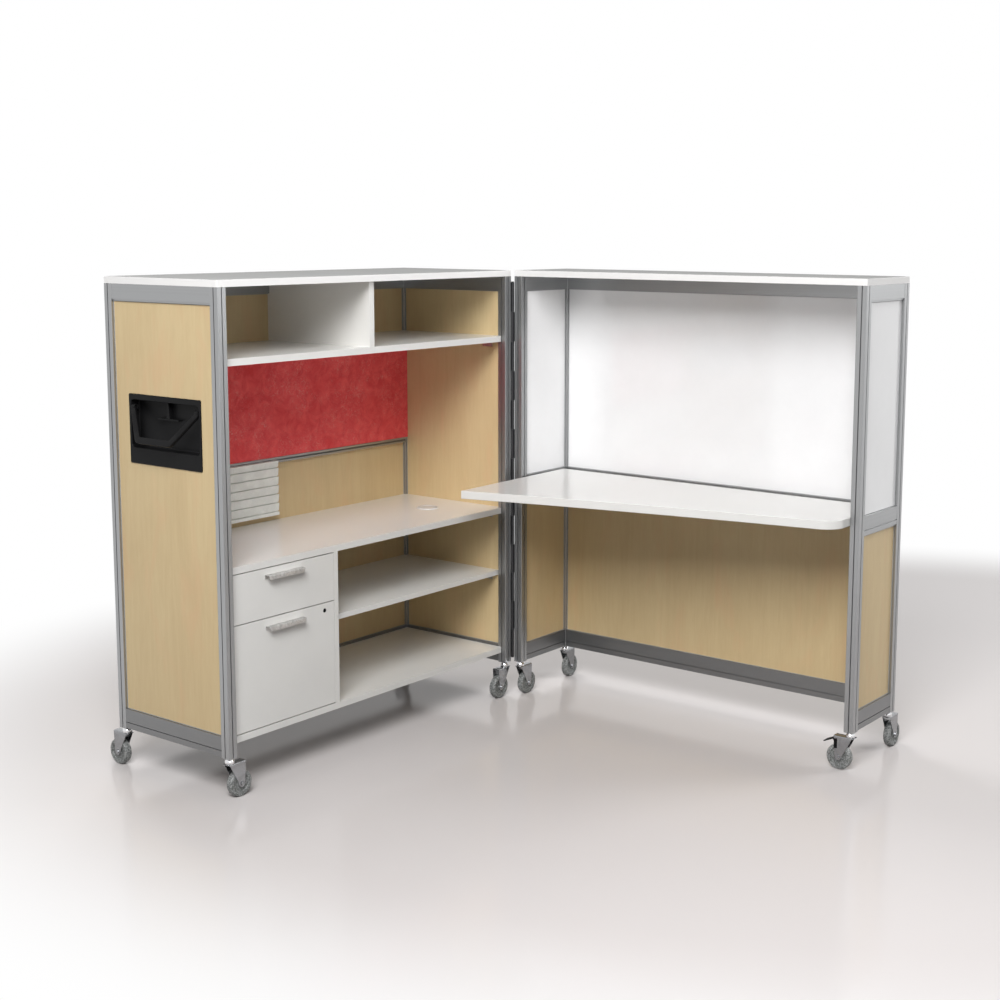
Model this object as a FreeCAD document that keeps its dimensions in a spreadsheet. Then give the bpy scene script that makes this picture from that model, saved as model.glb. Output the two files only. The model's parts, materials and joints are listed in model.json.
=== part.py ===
import FreeCAD, Part
import math
import os
import re
import Sketcher
from FreeCAD import Vector

# Folding mobile workstation: two open-fronted cabinet halves on casters, joined by an upright
# hinge at their front corners. Rest pose: the halves stand at a right angle.
# In each half u runs from the hinge end to the outer end, and v from the open front to the back.
# Lengths are in millimetres and angles in degrees.
SIZES = {
    # Both halves
    "unit_width": 1225,
    "storage_depth": 465,
    "desk_depth": 277,
    "end_gap": 6,
    "front_gap": 1.5,
    "post_foot": 115,
    "post_head": 1384,
    "slab_thickness": 19,
    "slab_corner": 3,
    "slab_edge": 1,
    "overrun": 5,
    # Posts, extruded with a slot along each face
    "post_size": 30,
    "post_corner": 1.2,
    "slot_mouth": 3,
    "slot_lip": 1.5,
    "slot_width": 8,
    "slot_depth": 5,
    # Rails, with a groove along both faces and a bead that holds the panel below
    "rail_width": 28,
    "bottom_rail_lift": 3,
    "bottom_rail_height": 57,
    "mid_rail_height": 58,
    "top_rail_height": 47,
    "bead_width": 20,
    "bead_height": 5,
    "groove_lift": 16.5,
    "groove_width": 2.5,
    "groove_depth": 3,
    # Panels
    "panel_thickness": 12,
    # Storage shelves
    "shelf_thickness": 19,
    "shelf_setback": 18,
    "upper_bay_height": 190,
    "credenza_height": 634,
    "bottom_shelf_height": 167,
    "mid_shelf_height": 423,
    "mid_shelf_thickness": 16,
    "mid_shelf_setback": 36,
    "divider_place": 628,
    "divider_thickness": 19,
    "support_leg": 18,
    "support_length": 40,
    "support_sheet": 2,
    "support_inset": 60,
    # Tackboard, accessory rail and slat panel
    "tackboard_clearance": 198,
    "tackboard_face": 5,
    "accessory_height": 17,
    "accessory_depth": 16,
    "accessory_mouth": 5,
    "accessory_slot": 11,
    "accessory_wall": 3,
    "slat_panel_width": 561,
    "slat_panel_depth": 13,
    "slat_panel_lap": 8,
    "slat_head": 22,
    "slat_clearance": 20,
    "slat_slant": 3,
    "slat_notch": 3,
    "slat_notch_depth": 8,
    "slat_foot": 10,
    "slat_leg": 4,
    "slat_hook_depth": 5,
    "slat_hook_thickness": 1.7,
    # Cable grommet
    "grommet_place": 178,
    "grommet_depth": 206,
    "grommet_radius": 35,
    "grommet_hole": 31.3,
    "grommet_play": 0.3,
    "grommet_wall": 2,
    "grommet_rim": 2.5,
    "grommet_lid_drop": 0.8,
    # Pedestal and drawers
    "pedestal_width": 442,
    "pedestal_side": 16,
    "pedestal_back": 12,
    "pedestal_setback": 38,
    "front_thickness": 18,
    "front_side_gap": 1.5,
    "front_gap_height": 3,
    "file_drawer_share": 0.683,
    "slide_gap": 13,
    "tray_back_gap": 4,
    "tray_wall": 12,
    "tray_floor": 8,
    "box_tray_lift": 14,
    "box_tray_headroom": 31.5,
    "file_tray_lift": 16,
    "file_tray_headroom": 35.5,
    "runner_back_gap": 3,
    "runner_height": 42,
    "runner_depth": 10,
    "runner_sheet": 1.5,
    "runner_play": 0.4,
    "runner_lift": 30,
    # Drawer pulls and lock
    "pull_width": 138,
    "pull_reach": 18,
    "pull_lip": 13,
    "pull_sheet": 2,
    "pull_web": 12,
    "pull_trim": 5,
    "pull_bend": 3,
    "box_pull_drop": 17,
    "file_pull_drop": 20.5,
    "lock_inset": 57,
    "lock_drop": 20.5,
    "lock_radius": 5.4,
    "lock_play": 0.05,
    "lock_proud": 1.5,
    "keyway_width": 1.5,
    "keyway_height": 7,
    "keyway_depth": 3,
    "cam_length": 16,
    "cam_width": 9,
    "cam_thickness": 3,
    "cam_gap": 1,
    # Carrying handle in the outer end of the storage half
    "handle_width": 297,
    "handle_drop": 91,
    "handle_height": 193,
    "handle_flange": 3,
    "handle_corner": 4,
    "recess_width": 280,
    "handle_apron": 44,
    "recess_height": 133,
    "recess_depth": 27,
    "recess_corner": 10,
    "recess_draft": 4,
    "tray_shell": 3,
    "cutout_play": 0.3,
    "rib_width": 4,
    "rib_length": 50,
    "rib_depth": 14,
    "rib_bar_width": 84,
    "rib_bar_height": 4,
    "pivot_drop": 21,
    "pivot_sink": 6,
    "pivot_radius": 4,
    "pivot_play": 0.05,
    "pivot_length": 14,
    "eye_radius": 8,
    "eye_length": 13,
    "bail_half_span": 137.5,
    "bail_swing": 27,
    "bail_drop": 94,
    "bail_strap": 18,
    "bail_grip_half": 66,
    "bail_thickness": 10,
    "bail_round": 2.5,
    # Upright hinge
    "barrel_radius": 5.2,
    "pin_radius": 2.5,
    "pin_play": 0.05,
    "pin_head_radius": 4.5,
    "pin_head": 2,
    "leaf_thickness": 1.5,
    "leaf_reach": 28,
    "leaf_notch": 5.8,
    "leaf_lift": 15,
    "leaf_drop": 19,
    "knuckle_gap": 0.5,
    # Worksurface
    "worksurface_height": 737,
    "worksurface_drop": 2,
    "worksurface_thickness": 25,
    "worksurface_overhang": 329.5,
    "worksurface_front_inset": 50,
    "worksurface_hinge_gap": 4,
    "worksurface_back_gap": 22,
    "worksurface_outer_gap": 3,
    "worksurface_outer_reach": 84,
    "worksurface_front_radius": 11800,
    "worksurface_corner": 58,
    "worksurface_edge": 1.5,
    "bracket_length": 180,
    "bracket_start": 34,
    "bracket_leg": 25,
    "bracket_drop": 40,
    "bracket_sheet": 3,
    # Casters
    "wheel_radius": 37.5,
    "wheel_half_width": 10.5,
    "tread_half_width": 5,
    "shoulder_drop": 1.6,
    "tyre_depth": 9.6,
    "web_half_width": 7,
    "hub_radius": 10,
    "hub_half_width": 11.2,
    "axle_radius": 4,
    "axle_play": 0.05,
    "axle_head_radius": 6.5,
    "axle_head": 3,
    "caster_trail": 32,
    "fork_top": 100,
    "fork_sheet": 1.6,
    "fork_bend": 3,
    "fork_half_gap": 11.3,
    "fork_front": 16,
    "fork_back": 46,
    "fork_leg_start": 10,
    "fork_foot_radius": 10,
    "kingpin_radius": 6,
    "kingpin_play": 0.05,
    "plate_play": 0.3,
    "rivet_radius": 9,
    "rivet_head": 2.6,
    "dome_radius": 13.5,
    "dome_top_radius": 9,
    "dome_skirt": 6,
    "stem_radius": 5.45,
    "stem_length": 40,
    "stem_bore": 5.5,
    # Brake pedal of one caster
    "pedal_pivot_x": 40,
    "pedal_pivot_z": 87,
    "pedal_pin_radius": 3,
    "pedal_play": 0.05,
    "pedal_block_half": 10.5,
    "pedal_block_start": 35,
    "pedal_block_drop": 4,
    "pedal_block_rise": 5,
    "pedal_plate_start": 48,
    "pedal_plate_end": 78,
    "pedal_plate_half": 12.5,
    "pedal_plate_thickness": 3.5,
    "pedal_slope": 14,
    "pedal_block_lean": 2,
    "pedal_link_width": 8,
    "pedal_link_length": 24,
    "pedal_link_sheet": 2.5,
    # Directions in which the casters trail at rest
    "trail_storage_front_outer": 0,
    "trail_storage_front_hinge": 180,
    "trail_storage_back_outer": 90,
    "trail_storage_back_hinge": 90,
    "trail_desk_front_hinge": 0,
    "trail_desk_front_outer": 90,
    "trail_desk_back_outer": 0,
    "trail_desk_back_hinge": 5,
}

# Counts
SLAT_COUNT = 5
STORAGE_KNUCKLES = 7
DESK_KNUCKLES = 6
KNUCKLES = STORAGE_KNUCKLES + DESK_KNUCKLES
POST_FACES = 4
HEAD_FLATS = 6

# Places and sizes worked out from the sizes above, each from those before it
PLACES = {
    "post_half": "post_size / 2",
    "panel_recess": "(post_size - panel_thickness) / 2",
    "panel_inner": "panel_recess + panel_thickness",
    "rail_inner": "(post_size + rail_width) / 2",
    "top_rail_foot": "post_head - top_rail_height",
    "bottom_rail_foot": "post_foot + bottom_rail_lift",
    "bottom_rail_head": "bottom_rail_foot + bottom_rail_height",
    "mid_rail_head": "worksurface_height + worksurface_drop",
    "mid_rail_foot": "mid_rail_head - mid_rail_height",
    "slab_head": "post_head + slab_thickness",
    "post_outer": "unit_width - post_size",
    "panel_outer": "unit_width - panel_inner",
    "storage_back": "storage_depth - panel_inner",
    "storage_post_back": "storage_depth - post_size",
    "desk_back": "desk_depth - panel_inner",
    "desk_post_back": "desk_depth - post_size",
    "upper_shelf_height": "post_head - upper_bay_height",
    "upper_shelf_foot": "upper_shelf_height - shelf_thickness",
    "credenza_foot": "credenza_height - shelf_thickness",
    "bottom_shelf_foot": "bottom_shelf_height - shelf_thickness",
    "mid_shelf_foot": "mid_shelf_height - mid_shelf_thickness",
    "tackboard_foot": "credenza_height + tackboard_clearance",
    "accessory_foot": "tackboard_foot - accessory_height",
    "accessory_front": "storage_back - accessory_depth",
    "slat_front": "accessory_front - slat_panel_depth",
    "slat_top": "accessory_foot + slat_panel_lap",
    "slat_height": "slat_top - credenza_height - slat_clearance",
    "slat_pitch": f"(slat_height - slat_head - slat_foot) / {SLAT_COUNT}",
    "pedestal_face": "unit_width - pedestal_width",
    "pedestal_inside": "pedestal_face + pedestal_side",
    "pedestal_rear": "storage_depth - rail_inner",
    "drawer_far_side": "post_outer - pedestal_side",
    "front_back": "shelf_setback + front_thickness",
    "drawer_room": "pedestal_rear - pedestal_back - front_back",
    "tray_length": "drawer_room - tray_back_gap",
    "runner_length": "drawer_room - runner_back_gap",
    "lock_place": "pedestal_face + lock_inset",
    "drawer_split": "bottom_shelf_height + file_drawer_share * (credenza_foot - bottom_shelf_height)",
    "box_front_foot": "drawer_split + front_gap_height / 2",
    "box_front_head": "credenza_foot - front_gap_height",
    "file_front_foot": "bottom_shelf_height + front_gap_height",
    "file_front_head": "drawer_split - front_gap_height / 2",
    "box_tray_foot": "box_front_foot + box_tray_lift",
    "file_tray_foot": "file_front_foot + file_tray_lift",
    "box_tray_height": "box_front_head - box_tray_headroom - box_tray_foot",
    "file_tray_height": "file_front_head - file_tray_headroom - file_tray_foot",
    "box_pull_height": "box_front_head - box_pull_drop",
    "file_pull_height": "file_front_head - file_pull_drop",
    "lock_height": "file_front_head - lock_drop",
    "tray_near": "pedestal_inside + slide_gap",
    "tray_far": "drawer_far_side - slide_gap",
    "handle_face": "unit_width - panel_recess + handle_flange",
    "handle_foot": "upper_shelf_foot - handle_drop - handle_height",
    "recess_foot": "handle_foot + handle_apron",
    "recess_head": "recess_foot + recess_height",
    "pivot_height": "recess_head - pivot_drop",
    "housing_width": "recess_width + 2 * tray_shell",
    "bail_length": "bail_drop + bail_strap / 2",
    "bail_reach": "(bail_length - bail_round) * sin(bail_swing) - pivot_sink + bail_round"
                  " + (bail_thickness / 2 - bail_round) * cos(bail_swing)",
    "worksurface_hinge_inset": "rail_inner + worksurface_hinge_gap",
    "worksurface_back": "desk_depth - rail_inner - worksurface_back_gap",
    "worksurface_outer": "unit_width - rail_inner - worksurface_outer_gap",
    "leaf_foot": "post_foot + leaf_lift",
    "leaf_length": "post_head - leaf_drop - leaf_foot",
    "knuckle_pitch": f"leaf_length / {KNUCKLES}",
    "shoulder_radius": "wheel_radius - shoulder_drop",
    "fork_half_width": "fork_half_gap + fork_sheet",
    "reach_left": "end_gap + handle_face + bail_reach",
    "reach_right": "front_gap + desk_depth - post_half + caster_trail + wheel_radius",
    "reach_front": "end_gap + unit_width - post_half + fork_front",
    "reach_back": "front_gap + storage_depth - post_half + caster_trail + wheel_radius",
    "hinge_x": "(reach_left - reach_right) / 2",
    "hinge_y": "(reach_front - reach_back) / 2",
    "storage_x": "hinge_x - end_gap",
    "storage_y": "hinge_y + front_gap",
    "desk_x": "hinge_x + front_gap",
    "desk_y": "hinge_y - end_gap",
    "fork_under": "fork_top - fork_sheet",
    "leg_run": "caster_trail + fork_leg_start",
    "leg_fall": "fork_under - wheel_radius",
    "leg_slope": "atan(leg_fall / leg_run) + asin(fork_foot_radius / sqrt(leg_run^2 + leg_fall^2))",
    "dome_foot": "fork_top + plate_play",
    "rivet_top": "fork_under - plate_play",
}

doc = FreeCAD.newDocument("FoldingWorkstation")


def make_sheet(name, cells):
    """Spreadsheet with one labelled and aliased cell for each entry."""
    sheet = doc.addObject("Spreadsheet::Sheet", name)
    for row, (alias, text) in enumerate(cells.items(), start=1):
        sheet.set(f"A{row}", alias)
        sheet.set(f"B{row}", text)
        sheet.setAlias(f"B{row}", alias)
    doc.recompute()
    return sheet


def written(text):
    """Formula with the sheet's name put before each alias in it."""
    def full(match):
        word = match.group()
        if word in SIZES:
            return "Sizes." + word
        if word in PLACES:
            return "Places." + word
        return word
    return re.sub(r"[a-z_]\w*", full, text)


make_sheet("Sizes", {alias: str(size) for alias, size in SIZES.items()})
places = make_sheet("Places", {alias: "=" + written(text) for alias, text in PLACES.items()})
nodes = {}


def amount(text):
    """Number that a formula gives now."""
    return float(places.evalExpression(written(text)))


def bind(item, path, text):
    """Tie a property of an object to a formula."""
    item.setExpression(path, written(text))


def put(item, x="0", y="0", z="0", turn="0"):
    """Tie an object's place, and its turn about the vertical, to formulas."""
    bind(item, "Placement.Base.x", x)
    bind(item, "Placement.Base.y", y)
    bind(item, "Placement.Base.z", z)
    bind(item, "Placement.Rotation.Angle", turn)
    return item


def keep(name, item):
    """Name an object as a sub-part of the finished product."""
    item.Label = name
    nodes[name] = item
    return item


def gather(name, members):
    """Sub-part that is a set of separate solids."""
    whole = doc.addObject("Part::Compound", name)
    whole.Links = members
    return keep(name, whole)


def copy_of(form, name, x="0", y="0", z="0", turn="0"):
    """Linked copy of a form at a place of its own."""
    copy = doc.addObject("App::Link", name)
    copy.LinkedObject = form
    return put(copy, x, y, z, turn)


def spot(half, u, v):
    """Formulas for x and y at u and v in one half."""
    if half == "storage":
        return f"storage_x - ({u})", f"storage_y + ({v})"
    return f"desk_x + ({v})", f"desk_y - ({u})"


def block(name, half, u, v, z):
    """Box between two values of u, v and z in one half."""
    solid = doc.addObject("Part::Box", name)
    across, deep = f"({u[1]}) - ({u[0]})", f"({v[1]}) - ({v[0]})"
    length, width = (across, deep) if half == "storage" else (deep, across)
    bind(solid, "Length", length)
    bind(solid, "Width", width)
    x, y = spot(half, u[1], v[0])
    bind(solid, "Height", f"({z[1]}) - ({z[0]})")
    return put(solid, x, y, z[0])


def rod(name, radius, length, x="0", y="0", z="0"):
    """Upright cylinder from its foot's centre."""
    solid = doc.addObject("Part::Cylinder", name)
    bind(solid, "Radius", radius)
    bind(solid, "Height", length)
    return put(solid, x, y, z)


def cut(name, base, tool):
    """Base with the tool taken away."""
    result = doc.addObject("Part::Cut", name)
    result.Base = base
    result.Tool = tool
    return result


def fuse(name, members):
    """Members joined into one solid."""
    result = doc.addObject("Part::MultiFuse", name)
    result.Shapes = members
    result.Refine = True
    return result


def new_body(name):
    """Empty body."""
    return doc.addObject("PartDesign::Body", name)


def sketch_on(body, role, lift="0"):
    """Empty sketch on one of the body's origin planes, lifted off it along its normal."""
    sketch = body.newObject("Sketcher::SketchObject", body.Name + "_sketch")
    plane = [item for item in body.Origin.OriginFeatures if item.Role == role][0]
    sketch.AttachmentSupport = [(plane, "")]
    sketch.MapMode = "FlatFace"
    bind(sketch, "AttachmentOffset.Base.z", lift)
    return sketch


def fix_point(sketch, edge, end, x, y):
    """Tie the end of a sketch edge to a place measured from the sketch's origin."""
    for kind, text in (("DistanceX", x), ("DistanceY", y)):
        index = sketch.addConstraint(Sketcher.Constraint(kind, -1, 1, edge, end, amount(text)))
        bind(sketch, f"Constraints[{index}]", text)


def trace(sketch, points, arcs=None):
    """Closed outline through points given as formulas.

    arcs maps the index of a point to the radius of the arc that leaves it: the outline bends
    to the left of its way there, or to the right where the formula starts with a minus.
    """
    arcs = arcs or {}
    corners = [Vector(amount(x), amount(y), 0) for x, y in points]
    ends = []
    for index, start in enumerate(corners):
        finish = corners[(index + 1) % len(corners)]
        if index in arcs:
            bend = arcs[index]
            radius = amount(bend.lstrip("-"))
            side = -1 if bend.startswith("-") else 1
            middle = (start + finish) / 2
            along = finish - start
            square = Vector(-along.y, along.x, 0).normalize()
            centre = middle + square * side * (radius ** 2 - (along.Length / 2) ** 2) ** 0.5
            circle = Part.Circle(centre, Vector(0, 0, 1), radius)
            first, last = (start, finish) if side > 0 else (finish, start)
            edge = Part.ArcOfCircle(circle, circle.parameter(first), circle.parameter(last))
            number = sketch.addGeometry(edge, False)
            ends.append((number, 1, 2) if side > 0 else (number, 2, 1))
            rule = sketch.addConstraint(Sketcher.Constraint("Radius", number, radius))
            bind(sketch, f"Constraints[{rule}]", bend.lstrip("-"))
        else:
            number = sketch.addGeometry(Part.LineSegment(start, finish), False)
            ends.append((number, 1, 2))
    for index, (number, first, last) in enumerate(ends):
        following, following_first, following_last = ends[(index + 1) % len(ends)]
        sketch.addConstraint(
            Sketcher.Constraint("Coincident", number, last, following, following_first))
        fix_point(sketch, number, first, *points[index])


def ring(sketch, x, y, radius):
    """Circle round a place in the sketch."""
    centre = Vector(amount(x), amount(y), 0)
    number = sketch.addGeometry(Part.Circle(centre, Vector(0, 0, 1), amount(radius)), False)
    fix_point(sketch, number, 3, x, y)
    rule = sketch.addConstraint(Sketcher.Constraint("Radius", number, amount(radius)))
    bind(sketch, f"Constraints[{rule}]", radius)


def rectangle(sketch, x, y):
    """Rectangle between two values of x and y."""
    trace(sketch, [(x[0], y[0]), (x[1], y[0]), (x[1], y[1]), (x[0], y[1])])


def pad(body, sketch, length, both_ways=False, back=False):
    """Solid as long as the formula says, along the sketch's normal."""
    feature = body.newObject("PartDesign::Pad", body.Name + "_pad")
    feature.Profile = sketch
    if both_ways:
        feature.SideType = "Symmetric"
    feature.Reversed = back
    bind(feature, "Length", length)
    return feature


def pocket(body, sketch, length=None, both_ways=False, back=False):
    """Cut against the sketch's normal, right through where no length is given."""
    feature = body.newObject("PartDesign::Pocket", body.Name + "_pocket")
    feature.Profile = sketch
    if both_ways:
        feature.SideType = "Symmetric"
    feature.Reversed = back
    if length is None:
        feature.Type = "ThroughAll"
    else:
        bind(feature, "Length", length)
    return feature


def dress(body, kind, size_name, size, wanted):
    """Fillet or Chamfer on the edges of the body's tip that the test picks."""
    doc.recompute()
    base = body.Tip
    names = [f"Edge{number}" for number, edge in enumerate(base.Shape.Edges, start=1)
             if wanted(edge)]
    feature = body.newObject("PartDesign::" + kind, body.Name + "_" + kind.lower())
    feature.Base = (base, names)
    bind(feature, size_name, size)
    body.Tip = feature
    return feature


def runs_along(edge, direction):
    """True for a straight edge along the direction."""
    if not isinstance(edge.Curve, (Part.Line, Part.LineSegment)):
        return False
    way = edge.Vertexes[-1].Point - edge.Vertexes[0].Point
    return way.cross(direction).Length < amount("bail_round") * 1e-3


def at_height(edge, height):
    """True for an edge that lies level at the height."""
    return all(abs(vertex.Z - height) < amount("slab_edge") * 1e-3 for vertex in edge.Vertexes)


# Frame

def post_form():
    """Square post with rounded corners, four slots and a bore for the caster's stem."""
    body = new_body("post")
    outline = sketch_on(body, "XY_Plane")
    rectangle(outline, ("-post_half", "post_half"), ("-post_half", "post_half"))
    pad(body, outline, "post_head - post_foot")
    dress(body, "Fillet", "Radius", "post_corner", lambda edge: runs_along(edge, Vector(0, 0, 1)))
    slot = sketch_on(body, "XY_Plane")
    lip = "post_half - slot_lip"
    floor = "post_half - slot_depth"
    trace(slot, [
        ("post_half + overrun", "-slot_mouth / 2"), ("post_half + overrun", "slot_mouth / 2"),
        (lip, "slot_mouth / 2"), (lip, "slot_width / 2"),
        (floor, "slot_width / 2"), (floor, "-slot_width / 2"),
        (lip, "-slot_width / 2"), (lip, "-slot_mouth / 2"),
    ])
    groove = pocket(body, slot, back=True)
    doc.recompute()
    slots = body.newObject("PartDesign::PolarPattern", "post_slots")
    slots.Originals = [groove]
    slots.Axis = (slot, ["N_Axis"])
    slots.Angle = 360
    slots.Occurrences = POST_FACES
    body.Tip = slots
    doc.recompute()
    bore = sketch_on(body, "XY_Plane")
    ring(bore, "0", "0", "stem_bore")
    pocket(body, bore, "stem_length + overrun", back=True)
    return body


def posts(half, depth, form):
    """The four posts of one half."""
    places_of_posts = [
        (u, v) for u in ("post_half", "unit_width - post_half")
        for v in ("post_half", f"{depth} - post_half")]
    copies = []
    for number, (u, v) in enumerate(places_of_posts, start=1):
        x, y = spot(half, u, v)
        copies.append(copy_of(form, f"{half}_post_{number}", x, y, "post_foot"))
    return gather(f"{half}_posts", copies)


def rail(name, length, height, grooved=False, beaded=False):
    """Rail along X from its foot's middle, with a groove in both faces or a bead below."""
    body = new_body(name)
    profile = sketch_on(body, "YZ_Plane")
    half, inset = "rail_width / 2", "rail_width / 2 - groove_depth"
    low, high = "groove_lift", "groove_lift + groove_width"
    right = []
    if beaded:
        right += [("bead_width / 2", "0"), ("bead_width / 2", "bead_height"),
                  (half, "bead_height")]
    else:
        right += [(half, "0")]
    if grooved:
        right += [(half, low), (inset, low), (inset, high), (half, high)]
    right += [(half, height)]
    left = [(f"-({x})", z) for x, z in reversed(right)]
    trace(profile, right + left)
    pad(body, profile, length)
    return body


def rail_level(half, depth, level, foot, height, grooved, beaded):
    """Two end rails and a back rail of one half at one height."""
    end_length = f"{depth} - 2 * post_size"
    back_length = "unit_width - 2 * post_size"
    rails = []
    for side, u in (("hinge", "post_half"), ("outer", "unit_width - post_half")):
        name = f"{half}_{level}_{side}_rail"
        item = rail(name, end_length, height, grooved, beaded)
        x, y = spot(half, u, "post_size")
        rails.append(put(item, x, y, foot, "90" if half == "storage" else "0"))
    item = rail(f"{half}_{level}_back_rail", back_length, height, grooved, beaded)
    x, y = spot(half, "post_outer", f"{depth} - post_half")
    rails.append(put(item, x, y, foot, "0" if half == "storage" else "90"))
    return rails


def top_slab(half, depth):
    """Top board with rounded corners and a softened upper edge."""
    body = new_body(f"{half}_top")
    outline = sketch_on(body, "XY_Plane")
    if half == "storage":
        rectangle(outline, ("-unit_width", "0"), ("0", depth))
    else:
        rectangle(outline, ("0", depth), ("-unit_width", "0"))
    pad(body, outline, "slab_thickness")
    dress(body, "Fillet", "Radius", "slab_corner", lambda edge: runs_along(edge, Vector(0, 0, 1)))
    head = amount("slab_thickness")
    dress(body, "Chamfer", "Size", "slab_edge", lambda edge: at_height(edge, head))
    x, y = spot(half, "0", "0")
    return keep(f"{half}_top", put(body, x, y, "post_head"))


def make_frames():
    """Posts, rails and top boards of both halves."""
    form = post_form()
    for half, depth in (("storage", "storage_depth"), ("desk", "desk_depth")):
        posts(half, depth, form)
        rails = rail_level(half, depth, "bottom", "bottom_rail_foot", "bottom_rail_height",
                           True, False)
        rails += rail_level(half, depth, "top", "top_rail_foot", "top_rail_height", False, True)
        if half == "desk":
            rails += rail_level(half, depth, "mid", "mid_rail_foot", "mid_rail_height",
                                True, True)
        gather(f"{half}_rails", rails)
        top_slab(half, depth)


# Panels

def make_panels():
    """Panels that close the ends and backs of both halves."""
    between = ("post_size", "storage_post_back")
    full = ("bottom_rail_head", "top_rail_foot")
    hinge_end = ("panel_recess", "panel_inner")
    outer_end = ("panel_outer", "unit_width - panel_recess")
    across = ("post_size", "post_outer")
    keep("storage_hinge_panel",
         block("storage_hinge_panel", "storage", hinge_end, between, full))
    sheet = block("outer_sheet", "storage", outer_end, between, full)
    window = block(
        "handle_window", "storage",
        ("panel_outer - overrun", "unit_width - panel_recess + overrun"),
        ("(storage_depth - housing_width) / 2 - cutout_play",
         "(storage_depth + housing_width) / 2 + cutout_play"),
        ("recess_foot - tray_shell - cutout_play", "recess_head + tray_shell + cutout_play"))
    keep("storage_outer_panel", cut("storage_outer_panel", sheet, window))
    keep("storage_back_panel",
         block("storage_back_panel", "storage", across,
               ("storage_back", "storage_back + panel_thickness"), full))
    desk_between = ("post_size", "desk_post_back")
    lower = ("bottom_rail_head", "mid_rail_foot")
    upper = ("mid_rail_head", "top_rail_foot")
    behind = ("desk_back", "desk_back + panel_thickness")
    keep("whiteboard", block("whiteboard", "desk", across, behind, upper))
    keep("desk_back_panel", block("desk_back_panel", "desk", across, behind, lower))
    for name, height in (("upper", upper), ("lower", lower)):
        gather(f"desk_{name}_end_panels", [
            block(f"desk_{name}_hinge_sheet", "desk", hinge_end, desk_between, height),
            block(f"desk_{name}_outer_sheet", "desk", outer_end, desk_between, height)])


# Storage interior

def notched_board(name, top, thickness, side, back):
    """Board across the storage half, cut out round the four posts.

    side and back are how far it reaches past the posts, to the ends and to the back.
    """
    body = new_body(name)
    outline = sketch_on(body, "XY_Plane")
    near = [("post_size", "shelf_setback"), ("post_size", "post_size"), (side, "post_size"),
            (side, "storage_post_back"), ("post_size", "storage_post_back"), ("post_size", back)]
    far = [(f"unit_width - ({u})", v) for u, v in reversed(near)]
    trace(outline, [(f"-({u})", v) for u, v in near + far])
    pad(body, outline, thickness)
    x, y = spot("storage", "0", "0")
    return put(body, x, y, f"{top} - {thickness}")


def shelf_divider():
    """Upright board of the upper bay, cut out below the back rail."""
    body = new_body("shelf_divider")
    outline = sketch_on(body, "YZ_Plane")
    rail_face = "storage_depth - rail_inner"
    trace(outline, [
        ("shelf_setback", "upper_shelf_height"), ("storage_back", "upper_shelf_height"),
        ("storage_back", "top_rail_foot"), (rail_face, "top_rail_foot"),
        (rail_face, "post_head"), ("shelf_setback", "post_head")])
    pad(body, outline, "divider_thickness", both_ways=True)
    x, y = spot("storage", "divider_place", "0")
    return keep("shelf_divider", put(body, x, y))


def tackboard():
    """Fabric board between the back posts, with a face that laps over them."""
    body = new_body("tackboard")
    outline = sketch_on(body, "XY_Plane")
    face = "storage_post_back - tackboard_face"
    near = [("panel_inner", face), ("panel_inner", "storage_post_back"),
            ("post_size", "storage_post_back"), ("post_size", "storage_back")]
    far = [(f"unit_width - ({u})", v) for u, v in reversed(near)]
    trace(outline, [(f"-({u})", v) for u, v in near + far])
    pad(body, outline, "upper_shelf_foot - tackboard_foot")
    x, y = spot("storage", "0", "0")
    return keep("tackboard", put(body, x, y, "tackboard_foot"))


def accessory_rail():
    """Slotted rail under the tackboard: a channel whose mouth faces the front."""
    body = new_body("accessory_rail")
    outline = sketch_on(body, "YZ_Plane")
    front, back = "accessory_front", "storage_back"
    inner, deep = "accessory_front + accessory_wall", "storage_back - accessory_wall"
    middle = "accessory_height / 2"
    low, high = f"{middle} - accessory_mouth / 2", f"{middle} + accessory_mouth / 2"
    floor, roof = f"{middle} - accessory_slot / 2", f"{middle} + accessory_slot / 2"
    trace(outline, [
        (front, "0"), (back, "0"), (back, "accessory_height"), (front, "accessory_height"),
        (front, high), (inner, high), (inner, roof), (deep, roof),
        (deep, floor), (inner, floor), (inner, low), (front, low)])
    pad(body, outline, "unit_width - 2 * post_size")
    x, y = spot("storage", "post_outer", "0")
    return keep("accessory_rail", put(body, x, y, "accessory_foot"))


def slat_panel():
    """Louvred panel that hooks into the accessory rail and stands off the back at its foot."""
    body = new_body("slat_panel")
    outline = sketch_on(body, "YZ_Plane")
    front, back = "slat_front", "accessory_front"
    lean, deep = f"{front} + slat_slant", f"{front} + slat_notch_depth"
    hook = f"{back} + slat_hook_depth"
    foot = f"slat_head + {SLAT_COUNT} * slat_pitch + slat_foot"
    points = [(hook, "0"), (front, "0")]
    for index in range(SLAT_COUNT + 1):
        level = f"slat_head + {index} * slat_pitch"
        points += [(lean, f"slat_notch - ({level})"), (deep, f"slat_notch - ({level})"),
                   (deep, f"-({level})"), (front, f"-({level})")]
    points += [(front, f"-({foot})"), ("storage_back", f"-({foot})"),
               ("storage_back", f"slat_leg - ({foot})"), (back, f"slat_leg - ({foot})"),
               (back, "-slat_hook_thickness"), (hook, "-slat_hook_thickness")]
    trace(outline, points)
    pad(body, outline, "slat_panel_width")
    x, y = spot("storage", "post_outer", "0")
    return keep("slat_panel", put(body, x, y, "slat_top"))


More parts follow.
